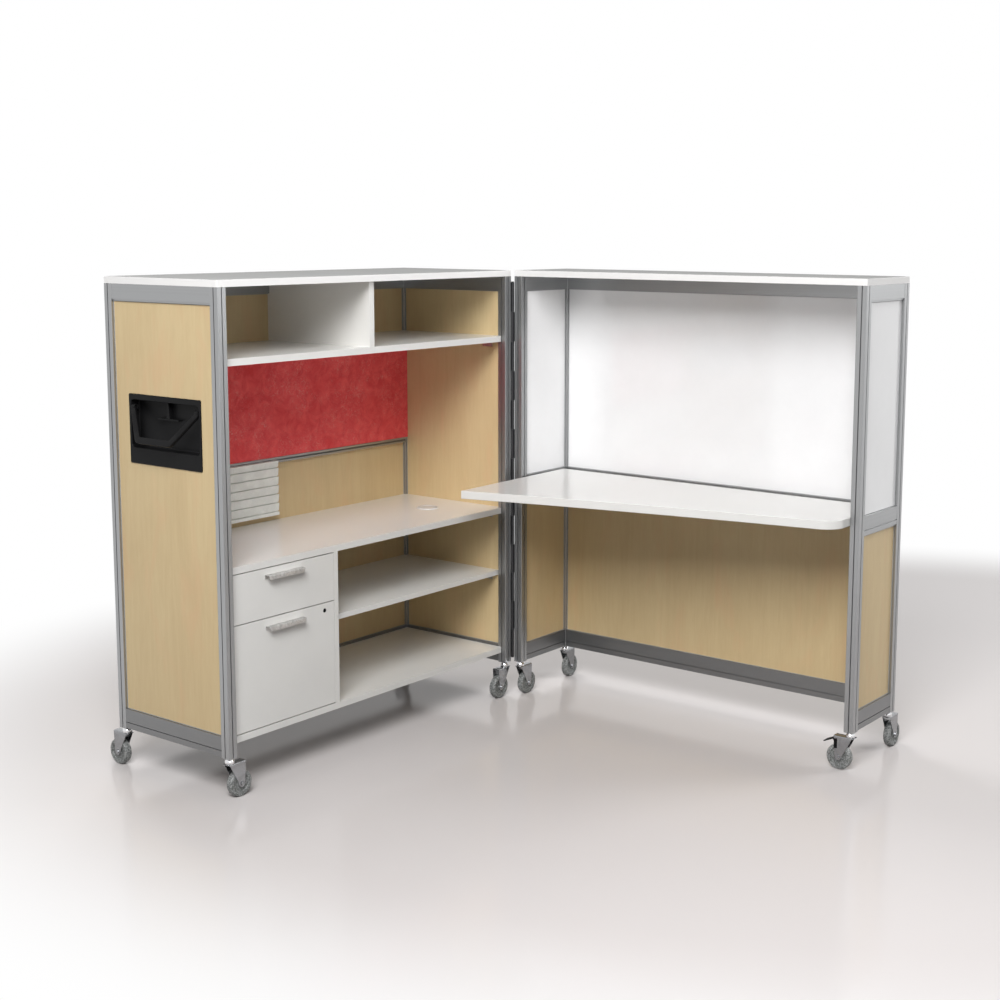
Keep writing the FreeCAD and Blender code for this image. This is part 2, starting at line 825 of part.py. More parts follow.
def cable_grommet():
    """Round grommet: rim, sleeve and a closed lid set just below the rim."""
    body = new_body("cable_grommet")
    profile = sketch_on(body, "XZ_Plane")
    sleeve = "grommet_hole - grommet_play"
    lid = "grommet_rim - grommet_lid_drop"
    inner = f"{sleeve} - grommet_wall"
    trace(profile, [
        ("0", "0"), (inner, "0"), (inner, "-(shelf_thickness - grommet_play)"),
        (sleeve, "-(shelf_thickness - grommet_play)"), (sleeve, "0"), ("grommet_radius", "0"),
        ("grommet_radius - grommet_rim / 2", "grommet_rim"), (f"{inner}", "grommet_rim"),
        (f"{inner} - grommet_wall / 2", lid), ("0", lid)])
    turned = body.newObject("PartDesign::Revolution", "grommet_turned")
    turned.Profile = profile
    turned.ReferenceAxis = (profile, ["V_Axis"])
    turned.Angle = 360
    x, y = spot("storage", "grommet_place", "grommet_depth")
    return keep("cable_grommet", put(body, x, y, "credenza_height"))


def angle_cleat(name, length, leg, drop, sheet):
    """Steel angle along X: one leg down against a wall at y = 0, one leg out level."""
    body = new_body(name)
    profile = sketch_on(body, "YZ_Plane")
    trace(profile, [
        ("0", "0"), ("0", f"-({drop})"), (sheet, f"-({drop})"), (sheet, f"-({sheet})"),
        (leg, f"-({sheet})"), (leg, "0")])
    pad(body, profile, length)
    return body


def shelf_supports():
    """Angle cleats under the upper shelf, the mid shelf and the credenza top."""
    form = angle_cleat("support_form", "support_length", "support_leg", "support_leg",
                       "support_sheet")
    rows = (
        ("upper", "upper_shelf_foot", ("panel_inner", "panel_outer")),
        ("mid", "mid_shelf_foot", ("panel_inner", "pedestal_face")),
        ("credenza", "credenza_foot", ("panel_inner",)),
    )
    cleats = []
    for shelf, height, walls in rows:
        for wall in walls:
            for place, v in (("front", "support_inset"),
                             ("back", "storage_post_back - support_inset")):
                turn = "90"
                if wall != "panel_inner":
                    turn, v = "-90", v + " + support_length"
                x, y = spot("storage", wall, v)
                name = f"{shelf}_{wall}_{place}_cleat"
                cleats.append(copy_of(form, name, x, y, height, turn))
    return gather("shelf_supports", cleats)


def make_interior():
    """Shelves and fittings of the storage half."""
    keep("upper_shelf", notched_board("upper_shelf", "upper_shelf_height", "shelf_thickness",
                                      "panel_inner", "storage_back"))
    top = notched_board("credenza_top", "credenza_height", "shelf_thickness", "panel_inner",
                        "storage_back")
    hole = sketch_on(top, "XY_Plane")
    ring(hole, "-grommet_place", "grommet_depth", "grommet_hole")
    pocket(top, hole, back=True)
    keep("credenza_top", top)
    keep("bottom_shelf", notched_board("bottom_shelf", "bottom_shelf_height", "shelf_thickness",
                                       "rail_inner", "pedestal_rear"))
    shelf = new_body("mid_shelf")
    outline = sketch_on(shelf, "XY_Plane")
    trace(outline, [
        ("-panel_inner", "mid_shelf_setback"), ("-panel_inner", "storage_post_back"),
        ("-post_size", "storage_post_back"), ("-post_size", "storage_back"),
        ("-pedestal_face", "storage_back"), ("-pedestal_face", "mid_shelf_setback")])
    pad(shelf, outline, "mid_shelf_thickness")
    x, y = spot("storage", "0", "0")
    keep("mid_shelf", put(shelf, x, y, "mid_shelf_foot"))
    shelf_divider()
    tackboard()
    accessory_rail()
    slat_panel()
    cable_grommet()
    shelf_supports()


# Pedestal and drawers

def pedestal_case():
    """Two sides and a back, open to the front; the near side comes forward to the drawers."""
    body = new_body("pedestal_case")
    outline = sketch_on(body, "XY_Plane")
    back = "pedestal_rear - pedestal_back"
    points = [
        ("pedestal_face", "shelf_setback"), ("pedestal_face", "pedestal_rear"),
        ("post_outer", "pedestal_rear"), ("post_outer", "pedestal_setback"),
        ("drawer_far_side", "pedestal_setback"), ("drawer_far_side", back),
        ("pedestal_inside", back), ("pedestal_inside", "shelf_setback")]
    trace(outline, [(f"-({u})", v) for u, v in points])
    pad(body, outline, "credenza_foot - bottom_shelf_height")
    x, y = spot("storage", "0", "0")
    return keep("pedestal_case", put(body, x, y, "bottom_shelf_height"))


def channel(name, web, reach, foot, head):
    """Channel along X: web gives its outer and inner face, and reach the flanges' tips."""
    body = new_body(name)
    profile = sketch_on(body, "YZ_Plane")
    outer, inner = web
    floor, roof = f"{foot} + runner_sheet", f"{head} - runner_sheet"
    trace(profile, [
        (outer, foot), (reach, foot), (reach, floor), (inner, floor),
        (inner, roof), (reach, roof), (reach, head), (outer, head)])
    pad(body, profile, "runner_length")
    return body


def slide_forms():
    """Fixed channel and the moving channel that runs inside it, both from the case's side."""
    fixed = channel("fixed_channel", ("0", "runner_sheet"), "runner_depth", "0", "runner_height")
    gap = "runner_sheet + runner_play"
    moving = channel("moving_channel", ("slide_gap", "slide_gap - runner_sheet"), gap, gap,
                     f"runner_height - ({gap})")
    return fixed, moving


def slide_pair(form, name, foot):
    """A form at both sides of a drawer, mirrored by turning it end for end."""
    near_x, near_y = spot("storage", "pedestal_inside", "front_back")
    far_x, far_y = spot("storage", "drawer_far_side", "front_back + runner_length")
    height = f"{foot} + runner_lift"
    return [copy_of(form, name + "_near", near_x, near_y, height, "90"),
            copy_of(form, name + "_far", far_x, far_y, height, "-90")]


def drawer_front(name, foot, head):
    """Front board of a drawer."""
    return block(name, "storage",
                 ("pedestal_inside + front_side_gap", "post_outer - front_side_gap"),
                 ("shelf_setback", "front_back"), (foot, head))


def drawer_tray(name, foot, height):
    """Open box behind the drawer's front."""
    body = new_body(name)
    outline = sketch_on(body, "XY_Plane")
    rectangle(outline, ("0", "tray_far - tray_near"), ("0", "tray_length"))
    pad(body, outline, height)
    inside = sketch_on(body, "XY_Plane", "tray_floor")
    rectangle(inside, ("tray_wall", "tray_far - tray_near - tray_wall"),
              ("tray_wall", "tray_length - tray_wall"))
    pocket(body, inside, back=True)
    x, y = spot("storage", "tray_far", "front_back")
    return keep(name, put(body, x, y, foot))


def pull_form():
    """Bent tab pull: a web on the drawer, a level top and a trimmed lip at the front."""
    body = new_body("pull")
    profile = sketch_on(body, "YZ_Plane")
    trace(profile, [
        ("0", "0"), ("-pull_reach", "0"), ("-pull_reach", "-pull_lip"),
        ("pull_sheet - pull_reach", "-pull_lip"), ("pull_sheet - pull_reach", "-pull_sheet"),
        ("-pull_sheet", "-pull_sheet"), ("-pull_sheet", "-pull_web"), ("0", "-pull_web")])
    pad(body, profile, "pull_width", both_ways=True)
    front = -amount("pull_reach")
    dress(body, "Fillet", "Radius", "pull_bend",
          lambda edge: runs_along(edge, Vector(1, 0, 0)) and at_height(edge, 0)
          and abs(edge.Vertexes[0].Y - front) < amount("pull_sheet") / 2)
    for side in ("", "-"):
        trim = sketch_on(body, "XZ_Plane")
        outer = f"{side}(pull_width / 2 + overrun)"
        trace(trim, [
            (outer, "-pull_lip - overrun"),
            (f"{side}(pull_width / 2 - pull_trim - overrun)", "-pull_lip - overrun"),
            (f"{side}(pull_width / 2 + overrun)", "pull_trim - pull_lip + overrun")])
        pocket(body, trim, "2 * pull_reach - pull_web", both_ways=False, back=True)
    return body


def lock_cylinder():
    """Lock plug with a keyway in its face and a cam behind the drawer front."""
    body = new_body("lock_cylinder")
    plug = sketch_on(body, "XZ_Plane")
    ring(plug, "0", "0", "lock_radius")
    pad(body, plug, "lock_proud + front_thickness + cam_gap + cam_thickness", back=True)
    cam = sketch_on(body, "XZ_Plane", "-(lock_proud + front_thickness + cam_gap)")
    rectangle(cam, ("-cam_width / 2", "cam_width / 2"), ("0", "cam_length"))
    pad(body, cam, "cam_thickness", back=True)
    key = sketch_on(body, "XZ_Plane")
    rectangle(key, ("-keyway_width / 2", "keyway_width / 2"),
              ("-keyway_height / 2", "keyway_height / 2"))
    pocket(body, key, "keyway_depth")
    x, y = spot("storage", "lock_place", "shelf_setback - lock_proud")
    return keep("lock_cylinder", put(body, x, y, "lock_height"))


def make_drawers():
    """Pedestal with its two drawers, their slides, pulls and the lock."""
    pedestal_case()
    fixed, moving = slide_forms()
    runners = []
    pull = pull_form()
    for name, foot, height in (("box", "box_tray_foot", "box_tray_height"),
                               ("file", "file_tray_foot", "file_tray_height")):
        runners += slide_pair(fixed, f"{name}_runner", foot)
        gather(f"{name}_drawer_slides", slide_pair(moving, f"{name}_slide", foot))
        drawer_tray(f"{name}_drawer_tray", foot, height)
        front = drawer_front(f"{name}_front_board", f"{name}_front_foot", f"{name}_front_head")
        if name == "file":
            bore = doc.addObject("Part::Cylinder", "lock_bore")
            bind(bore, "Radius", "lock_radius + lock_play")
            bind(bore, "Height", "front_thickness + 2 * overrun")
            x, y = spot("storage", "lock_place", "front_back + overrun")
            bind(bore, "Placement.Base.x", x)
            bind(bore, "Placement.Base.y", y)
            bind(bore, "Placement.Base.z", "lock_height")
            bore.Placement.Rotation = FreeCAD.Rotation(Vector(1, 0, 0), 90)
            front = cut("file_front_bored", front, bore)
        keep(f"{name}_drawer_front", front)
        x, y = spot("storage", "(pedestal_inside + post_outer) / 2", "shelf_setback")
        gather(f"{name}_drawer_pull",
               [copy_of(pull, f"{name}_pull", x, y, f"{name}_pull_height")])
    gather("drawer_runners", runners)
    lock_cylinder()


# Carrying handle

def handle_tray():
    """Moulded tray: flange on the panel, dished recess with a rib, and two pivot pins.

    It is drawn on the outer end: x points inwards from the flange's face, y runs to the back
    from the middle of the half, and z is the height.
    """
    body = new_body("handle_tray")
    inwards = Vector(1, 0, 0)
    housing = sketch_on(body, "YZ_Plane")
    half = "housing_width / 2"
    rectangle(housing, (f"-({half})", half), ("recess_foot - tray_shell", "recess_head + tray_shell"))
    pad(body, housing, "recess_depth + tray_shell")
    dress(body, "Fillet", "Radius", "recess_corner", lambda edge: runs_along(edge, inwards))
    flange = sketch_on(body, "YZ_Plane")
    rectangle(flange, ("-handle_width / 2", "handle_width / 2"),
              ("handle_foot", "handle_foot + handle_height"))
    pad(body, flange, "handle_flange")
    reach = amount("(handle_width + housing_width) / 4")
    dress(body, "Fillet", "Radius", "handle_corner",
          lambda edge: runs_along(edge, inwards) and abs(edge.Vertexes[0].Y) > reach)
    mouth = sketch_on(body, "YZ_Plane")
    rectangle(mouth, ("-recess_width / 2", "recess_width / 2"), ("recess_foot", "recess_head"))
    dish = pocket(body, mouth, "recess_depth", back=True)
    bind(dish, "TaperAngle", "-recess_draft")
    for side in (1, -1):
        pin = sketch_on(body, "XZ_Plane", f"{-side} * recess_width / 2")
        ring(pin, "pivot_sink", "pivot_height", "pivot_radius")
        pad(body, pin, "pivot_length", back=side < 0)
    rib = sketch_on(body, "YZ_Plane", "recess_depth")
    rib_foot, rib_side, bar_side = "recess_head - rib_length", "rib_width / 2", "rib_bar_width / 2"
    bar_head = f"{rib_foot} + rib_bar_height"
    trace(rib, [
        (f"-{bar_side}", rib_foot), (bar_side, rib_foot), (bar_side, bar_head),
        (rib_side, bar_head), (rib_side, "recess_head"), (f"-{rib_side}", "recess_head"),
        (f"-{rib_side}", bar_head), (f"-{bar_side}", bar_head)])
    pad(body, rib, "rib_depth", back=True)
    x, y = spot("storage", "handle_face", "storage_depth / 2")
    return keep("handle_tray", put(body, x, y))


def handle_bail():
    """Trapezoid bail on its pivots, swung out, drawn in the tray's directions."""
    body = new_body("handle_bail")
    outline = sketch_on(body, "YZ_Plane")
    right = [
        ("bail_half_span", "0"), ("bail_half_span", "-eye_radius"),
        ("bail_grip_half + bail_strap / 2", "-bail_length")]
    inner = [
        ("bail_grip_half - bail_strap / 4", "bail_strap / 2 - bail_drop"),
        ("bail_half_span - bail_strap", "-eye_radius / 2"),
        ("bail_half_span - eye_length", "0")]
    left = [(f"-({y})", z) for y, z in reversed(right)]
    left_inner = [(f"-({y})", z) for y, z in reversed(inner)]
    trace(outline, right + left + left_inner + inner)
    pad(body, outline, "bail_thickness", both_ways=True)
    dress(body, "Fillet", "Radius", "bail_round",
          lambda edge: abs(edge.Vertexes[0].X - edge.Vertexes[-1].X) < amount("pivot_play")
          and min(vertex.Z for vertex in edge.Vertexes) < -amount("bail_strap"))
    for side in (1, -1):
        eye = sketch_on(body, "XZ_Plane", f"{-side} * bail_half_span")
        ring(eye, "0", "0", "eye_radius")
        pad(body, eye, "eye_length", back=side < 0)
        bore = sketch_on(body, "XZ_Plane", f"{-side} * (bail_half_span + overrun)")
        ring(bore, "0", "0", "pivot_radius + pivot_play")
        pocket(body, bore, "pivot_length + 2 * overrun", back=side > 0)
    body.Placement.Rotation = FreeCAD.Rotation(Vector(0, 1, 0), amount("bail_swing"))
    x, y = spot("storage", "handle_face - pivot_sink", "storage_depth / 2")
    return keep("handle_bail", put(body, x, y, "pivot_height", "bail_swing"))


# Upright hinge

def hinge_leaf(half, side, knuckles, first):
    """One leaf with its knuckles; side says on which side of the axis the leaf's flat lies."""
    body = new_body(f"hinge_leaf_{half}")
    flat = ("-end_gap", "leaf_thickness - end_gap") if side < 0 else (
        "end_gap - leaf_thickness", "end_gap")
    plate = sketch_on(body, "XY_Plane")
    rectangle(plate, flat, ("leaf_notch", "leaf_reach"))
    pad(body, plate, "leaf_length")
    lift = f"{first} * knuckle_pitch + knuckle_gap / 2"
    tab = sketch_on(body, "XY_Plane", lift)
    rectangle(tab, flat, ("0", "leaf_notch"))
    tab_pad = pad(body, tab, "knuckle_pitch - knuckle_gap")
    barrel = sketch_on(body, "XY_Plane", lift)
    ring(barrel, "0", "0", "barrel_radius")
    barrel_pad = pad(body, barrel, "knuckle_pitch - knuckle_gap")
    doc.recompute()
    row = body.newObject("PartDesign::LinearPattern", body.Name + "_row")
    row.Originals = [tab_pad, barrel_pad]
    row.Direction = (barrel, ["N_Axis"])
    bind(row, "Length", f"{2 * (knuckles - 1)} * knuckle_pitch")
    row.Occurrences = knuckles
    body.Tip = row
    doc.recompute()
    bore = sketch_on(body, "XY_Plane")
    ring(bore, "0", "0", "pin_radius + pin_play")
    pocket(body, bore, back=True)
    turn = "0" if half == "storage" else "-90"
    return keep(f"hinge_leaf_{half}", put(body, "hinge_x", "hinge_y", "leaf_foot", turn))


def make_hinge():
    """Both leaves and the pin."""
    hinge_leaf("storage", -1, STORAGE_KNUCKLES, 0)
    hinge_leaf("desk", 1, DESK_KNUCKLES, 1)
    shaft = rod("pin_shaft", "pin_radius", "leaf_length + 2 * pin_head", z="-pin_head")
    foot = rod("pin_foot", "pin_head_radius", "pin_head", z="-pin_head")
    head = rod("pin_head", "pin_head_radius", "pin_head", z="leaf_length")
    pin = fuse("hinge_pin", [shaft, foot, head])
    return keep("hinge_pin", put(pin, "hinge_x", "hinge_y", "leaf_foot"))


# Worksurface

def worksurface():
    """Board that runs out past the desk half's front, widest by the hinge."""
    body = new_body("worksurface")
    outline = sketch_on(body, "XY_Plane")
    trace(outline, [
        ("worksurface_back", "-worksurface_hinge_inset"),
        ("-worksurface_overhang", "-worksurface_front_inset"),
        ("-worksurface_outer_reach", "-worksurface_outer"),
        ("worksurface_back", "-worksurface_outer")],
        {1: "-worksurface_front_radius"})
    pad(body, outline, "worksurface_thickness")
    corner = (-amount("worksurface_outer_reach"), -amount("worksurface_outer"))
    near = amount("worksurface_edge")
    dress(body, "Fillet", "Radius", "worksurface_corner",
          lambda edge: runs_along(edge, Vector(0, 0, 1))
          and math.dist((edge.Vertexes[0].X, edge.Vertexes[0].Y), corner) < near)
    head = amount("worksurface_thickness")
    dress(body, "Chamfer", "Size", "worksurface_edge",
          lambda edge: at_height(edge, 0) or at_height(edge, head))
    x, y = spot("desk", "0", "0")
    return keep("worksurface", put(body, x, y, "worksurface_height - worksurface_thickness"))


def worksurface_brackets():
    """Steel angles on the end rails that carry the worksurface."""
    form = angle_cleat("bracket_form", "bracket_length", "bracket_leg", "bracket_drop",
                       "bracket_sheet")
    height = "worksurface_height - worksurface_thickness"
    hinge_x, hinge_y = spot("desk", "rail_inner", "bracket_start + bracket_length")
    outer_x, outer_y = spot("desk", "unit_width - rail_inner", "bracket_start")
    return gather("worksurface_brackets", [
        copy_of(form, "hinge_end_bracket", hinge_x, hinge_y, height, "180"),
        copy_of(form, "outer_end_bracket", outer_x, outer_y, height, "0")])


# Casters

def stem_form():
    """Stem, dome and kingpin of a caster, from the swivel axis on the floor."""
    body = new_body("stem")
    profile = sketch_on(body, "XZ_Plane")
    dome_head = "post_foot"
    trace(profile, [
        ("0", "rivet_top - rivet_head"), ("rivet_radius", "rivet_top - rivet_head"),
        ("rivet_radius", "rivet_top"), ("kingpin_radius", "rivet_top"),
        ("kingpin_radius", "dome_foot"), ("dome_radius", "dome_foot"),
        ("dome_radius", "dome_foot + dome_skirt"), ("dome_top_radius", dome_head),
        ("stem_radius", dome_head), ("stem_radius", "post_foot + stem_length"),
        ("0", "post_foot + stem_length")])
    turned = body.newObject("PartDesign::Revolution", "stem_turned")
    turned.Profile = profile
    turned.ReferenceAxis = (profile, ["V_Axis"])
    turned.Angle = 360
    return body


def fork_form(name, with_pedal_holes):
    """Bent fork: flat top plate and two legs that taper to the axle, with its bolt in place.

    X points the way the wheel trails, and the origin is on the floor under the kingpin.
    """
    body = new_body(name)
    side = sketch_on(body, "XZ_Plane")
    foot_x = "caster_trail - fork_foot_radius * sin(leg_slope)"
    foot_z = "wheel_radius - fork_foot_radius * cos(leg_slope)"
    trace(side, [
        ("-fork_front", "fork_under"), ("-fork_leg_start", "fork_under"), (foot_x, foot_z),
        ("caster_trail + fork_foot_radius", "wheel_radius"), ("fork_back", "fork_under"),
        ("fork_back", "fork_top"), ("-fork_front", "fork_top")],
        {2: "fork_foot_radius"})
    pad(body, side, "2 * fork_half_width", both_ways=True)
    top, edge_place = amount("fork_top"), amount("fork_half_gap")
    dress(body, "Fillet", "Radius", "fork_bend",
          lambda edge: runs_along(edge, Vector(1, 0, 0)) and at_height(edge, top)
          and abs(edge.Vertexes[0].Y) > edge_place)
    gap = sketch_on(body, "YZ_Plane")
    rectangle(gap, ("-fork_half_gap", "fork_half_gap"), ("0", "fork_under"))
    pocket(body, gap, both_ways=True)
    swivel = sketch_on(body, "XY_Plane")
    ring(swivel, "0", "0", "kingpin_radius + kingpin_play")
    pocket(body, swivel, back=True)
    if with_pedal_holes:
        pivot = sketch_on(body, "XZ_Plane")
        ring(pivot, "pedal_pivot_x", "pedal_pivot_z", "pedal_pin_radius + pedal_play")
        pocket(body, pivot, both_ways=True)
    axle = sketch_on(body, "XZ_Plane")
    ring(axle, "caster_trail", "wheel_radius", "axle_radius")
    pad(body, axle, "2 * fork_half_width", both_ways=True)
    for side in (1, -1):
        head = sketch_on(body, "XZ_Plane", f"{side} * fork_half_width")
        corners = [f"{turn} * 360 / {HEAD_FLATS}" for turn in range(HEAD_FLATS)]
        trace(head, [(f"caster_trail + axle_head_radius * cos({turn})",
                      f"wheel_radius + axle_head_radius * sin({turn})") for turn in corners])
        pad(body, head, "axle_head", back=side < 0)
    return body


def wheel_form():
    """Wheel with a crowned tyre, a thinner web and a hub, round its own axle."""
    body = new_body("wheel")
    profile = sketch_on(body, "XY_Plane")
    bore = "axle_radius + axle_play"
    tyre = "wheel_radius - tyre_depth"
    right = [
        (bore, "hub_half_width"), ("hub_radius", "hub_half_width"),
        ("hub_radius", "web_half_width"), (tyre, "web_half_width"),
        (tyre, "wheel_half_width"), ("shoulder_radius", "wheel_half_width"),
        ("wheel_radius", "tread_half_width")]
    left = [(x, f"-({y})") for x, y in reversed(right)]
    trace(profile, right + left)
    turned = body.newObject("PartDesign::Revolution", "wheel_turned")
    turned.Profile = profile
    turned.ReferenceAxis = (profile, ["V_Axis"])
    turned.Angle = 360
    return body


def brake_pedal_form():
    """Brake pedal: pin through the fork, a block between its legs, foot plate and side link."""
    body = new_body("pedal")
    pin = sketch_on(body, "XZ_Plane")
    ring(pin, "pedal_pivot_x", "pedal_pivot_z", "pedal_pin_radius")
    reach = "fork_half_width + pedal_link_sheet"
    pad(body, pin, f"2 * ({reach})", both_ways=True)
    block_side = sketch_on(body, "XZ_Plane")
    low, high = "pedal_pivot_z - pedal_block_drop", "pedal_pivot_z + pedal_block_rise"
    trace(block_side, [
        ("pedal_block_start", low), ("pedal_plate_start", low),
        ("pedal_plate_start + pedal_block_lean", high), ("pedal_block_start", high)])
    pad(body, block_side, "2 * pedal_block_half", both_ways=True)
    plate_side = sketch_on(body, "XZ_Plane")
    trace(plate_side, [
        ("pedal_plate_start", f"{high} - pedal_plate_thickness"),
        ("pedal_plate_end", f"{high} - pedal_plate_thickness - pedal_slope"),
        ("pedal_plate_end", f"{high} - pedal_slope"), ("pedal_plate_start", high)])
    pad(body, plate_side, "2 * pedal_plate_half", both_ways=True)
    link = sketch_on(body, "XZ_Plane", "-fork_half_width")
    rectangle(link, ("pedal_pivot_x - pedal_link_width / 2", "pedal_pivot_x + pedal_link_width / 2"),
              ("pedal_pivot_z - pedal_link_length", "pedal_pivot_z + pedal_link_width / 2"))
    pad(body, link, "pedal_link_sheet", back=True)
    return body


def make_casters():
    """Eight casters: stems gathered by half, and a fork and a wheel node for each."""
    stem = stem_form()
    fork = fork_form("fork", False)
    braked_fork = fork_form("braked_fork", True)
    wheel = wheel_form()
    for half, depth in (("storage", "storage_depth"), ("desk", "desk_depth")):
        stems = []
        for side, v in (("front", "post_half"), ("back", f"{depth} - post_half")):
            for end, u in (("hinge", "post_half"), ("outer", "unit_width - post_half")):
                place = f"{half}_{side}_{end}"
                x, y = spot(half, u, v)
                turn = f"trail_{place}"
                stems.append(copy_of(stem, f"{place}_stem", x, y))
                braked = place == "desk_front_outer"
                parts = gather(f"fork_{place}", [braked_fork if braked else fork])
                put(parts, x, y, turn=turn)
                rolling = gather(f"wheel_{place}", [wheel])
                put(rolling, f"{x} + caster_trail * cos({turn})",
                    f"{y} + caster_trail * sin({turn})", "wheel_radius", turn)
                if braked:
                    put(gather("brake_pedal", [brake_pedal_form()]), x, y, turn=turn)
        gather(f"{half}_caster_stems", stems)


make_frames()
make_panels()
make_interior()
make_drawers()
handle_tray()
handle_bail()
make_hinge()
worksurface()
worksurface_brackets()
make_casters()
doc.recompute()

broken = [item.Label for item in doc.Objects if {"Invalid", "Error"} & set(item.State)]
for name, item in nodes.items():
    if item.Shape.isNull() or not item.Shape.isValid() or not item.Shape.Solids:
        broken.append(name)
if broken:
    raise RuntimeError("not built: " + ", ".join(broken))

os.makedirs("parts", exist_ok=True)
for name, item in nodes.items():
    item.Shape.exportStep(f"parts/{name}.step")
print(len(nodes), "sub-parts written")
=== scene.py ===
"""Looks of a folding mobile workstation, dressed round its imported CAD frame.

Two open-fronted cabinet halves on casters stand at a right angle, joined by an upright hinge.
Lengths are in metres, in the frame's own directions: +Z is up, the storage half faces -Y and the
desk half faces -X. In each half, u runs from the hinge end to the outer end, and v from the open
front to the back.
"""

import json
import logging
import math
from abc import ABC, abstractmethod
from collections.abc import Iterable, Mapping, Sequence
from dataclasses import dataclass
from enum import Enum
from functools import lru_cache
from typing import Any

import bmesh
import bpy
from mathutils import Euler, Matrix, Vector


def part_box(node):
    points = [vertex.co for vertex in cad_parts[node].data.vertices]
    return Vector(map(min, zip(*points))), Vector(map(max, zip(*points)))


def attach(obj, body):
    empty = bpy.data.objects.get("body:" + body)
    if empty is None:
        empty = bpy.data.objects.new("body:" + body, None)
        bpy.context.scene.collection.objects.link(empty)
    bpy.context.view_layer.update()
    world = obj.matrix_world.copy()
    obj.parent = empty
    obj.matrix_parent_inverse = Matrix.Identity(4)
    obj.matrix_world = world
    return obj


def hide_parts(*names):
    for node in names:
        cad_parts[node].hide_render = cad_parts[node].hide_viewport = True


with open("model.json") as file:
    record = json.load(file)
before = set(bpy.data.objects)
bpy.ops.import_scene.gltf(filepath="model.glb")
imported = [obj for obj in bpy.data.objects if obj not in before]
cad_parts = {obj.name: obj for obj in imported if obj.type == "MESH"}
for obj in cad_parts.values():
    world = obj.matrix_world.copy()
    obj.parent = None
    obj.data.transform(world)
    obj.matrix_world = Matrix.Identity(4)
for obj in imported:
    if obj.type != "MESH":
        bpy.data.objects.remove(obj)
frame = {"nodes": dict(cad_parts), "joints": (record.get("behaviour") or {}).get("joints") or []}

log = logging.getLogger("workstation")

Colour = tuple[float, float, float, float]
Point2 = tuple[float, float]

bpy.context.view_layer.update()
TINY = 1e-6


def screen_colour(red: int, green: int, blue: int) -> Colour:
    """Linear colour of an 8-bit screen colour.

    Args:
        red: red level from 0 to 255.
        green: green level from 0 to 255.
        blue: blue level from 0 to 255.

    Returns:
        Linear colour with full opacity.
    """

    def channel(level: int) -> float:
        """Linear share of one level."""
        share = level / 255
        return share / 12.92 if share <= 0.04045 else ((share + 0.055) / 1.055) ** 2.4

    return channel(red), channel(green), channel(blue), 1.0


class Grain(Enum):
    """Direction in which a grain, or the drawing marks of an extrusion, runs."""

    ALONG_X = (0.06, 1.0, 1.0)
    UPRIGHT = (1.0, 1.0, 0.06)
    LEVEL = (0.06, 0.06, 1.0)


# Shader graphs

class Port:
    """Output of a node; arithmetic on ports adds Math nodes."""

    def __init__(self, graph: "Graph", socket: bpy.types.NodeSocket) -> None:
        """Wrap an output socket of the graph."""
        self.graph = graph
        self.socket = socket

    def _math(self, operation: str, first: "Port | float", second: "Port | float") -> "Port":
        """Result of a two-value Math node."""
        return self.graph.node("ShaderNodeMath", {"operation": operation}, {0: first, 1: second})

    def __add__(self, other: "Port | float") -> "Port":
        """Sum with a port or number."""
        return self._math("ADD", self, other)

    def __radd__(self, other: float) -> "Port":
        """Sum with a number on the left."""
        return self._math("ADD", other, self)

    def __sub__(self, other: "Port | float") -> "Port":
        """Difference from a port or number."""
        return self._math("SUBTRACT", self, other)

    def __rsub__(self, other: float) -> "Port":
        """Difference of a number on the left."""
        return self._math("SUBTRACT", other, self)

    def __mul__(self, other: "Port | float") -> "Port":
        """Product with a port or number."""
        return self._math("MULTIPLY", self, other)

    def __rmul__(self, other: float) -> "Port":
        """Product with a number on the left."""
        return self._math("MULTIPLY", other, self)


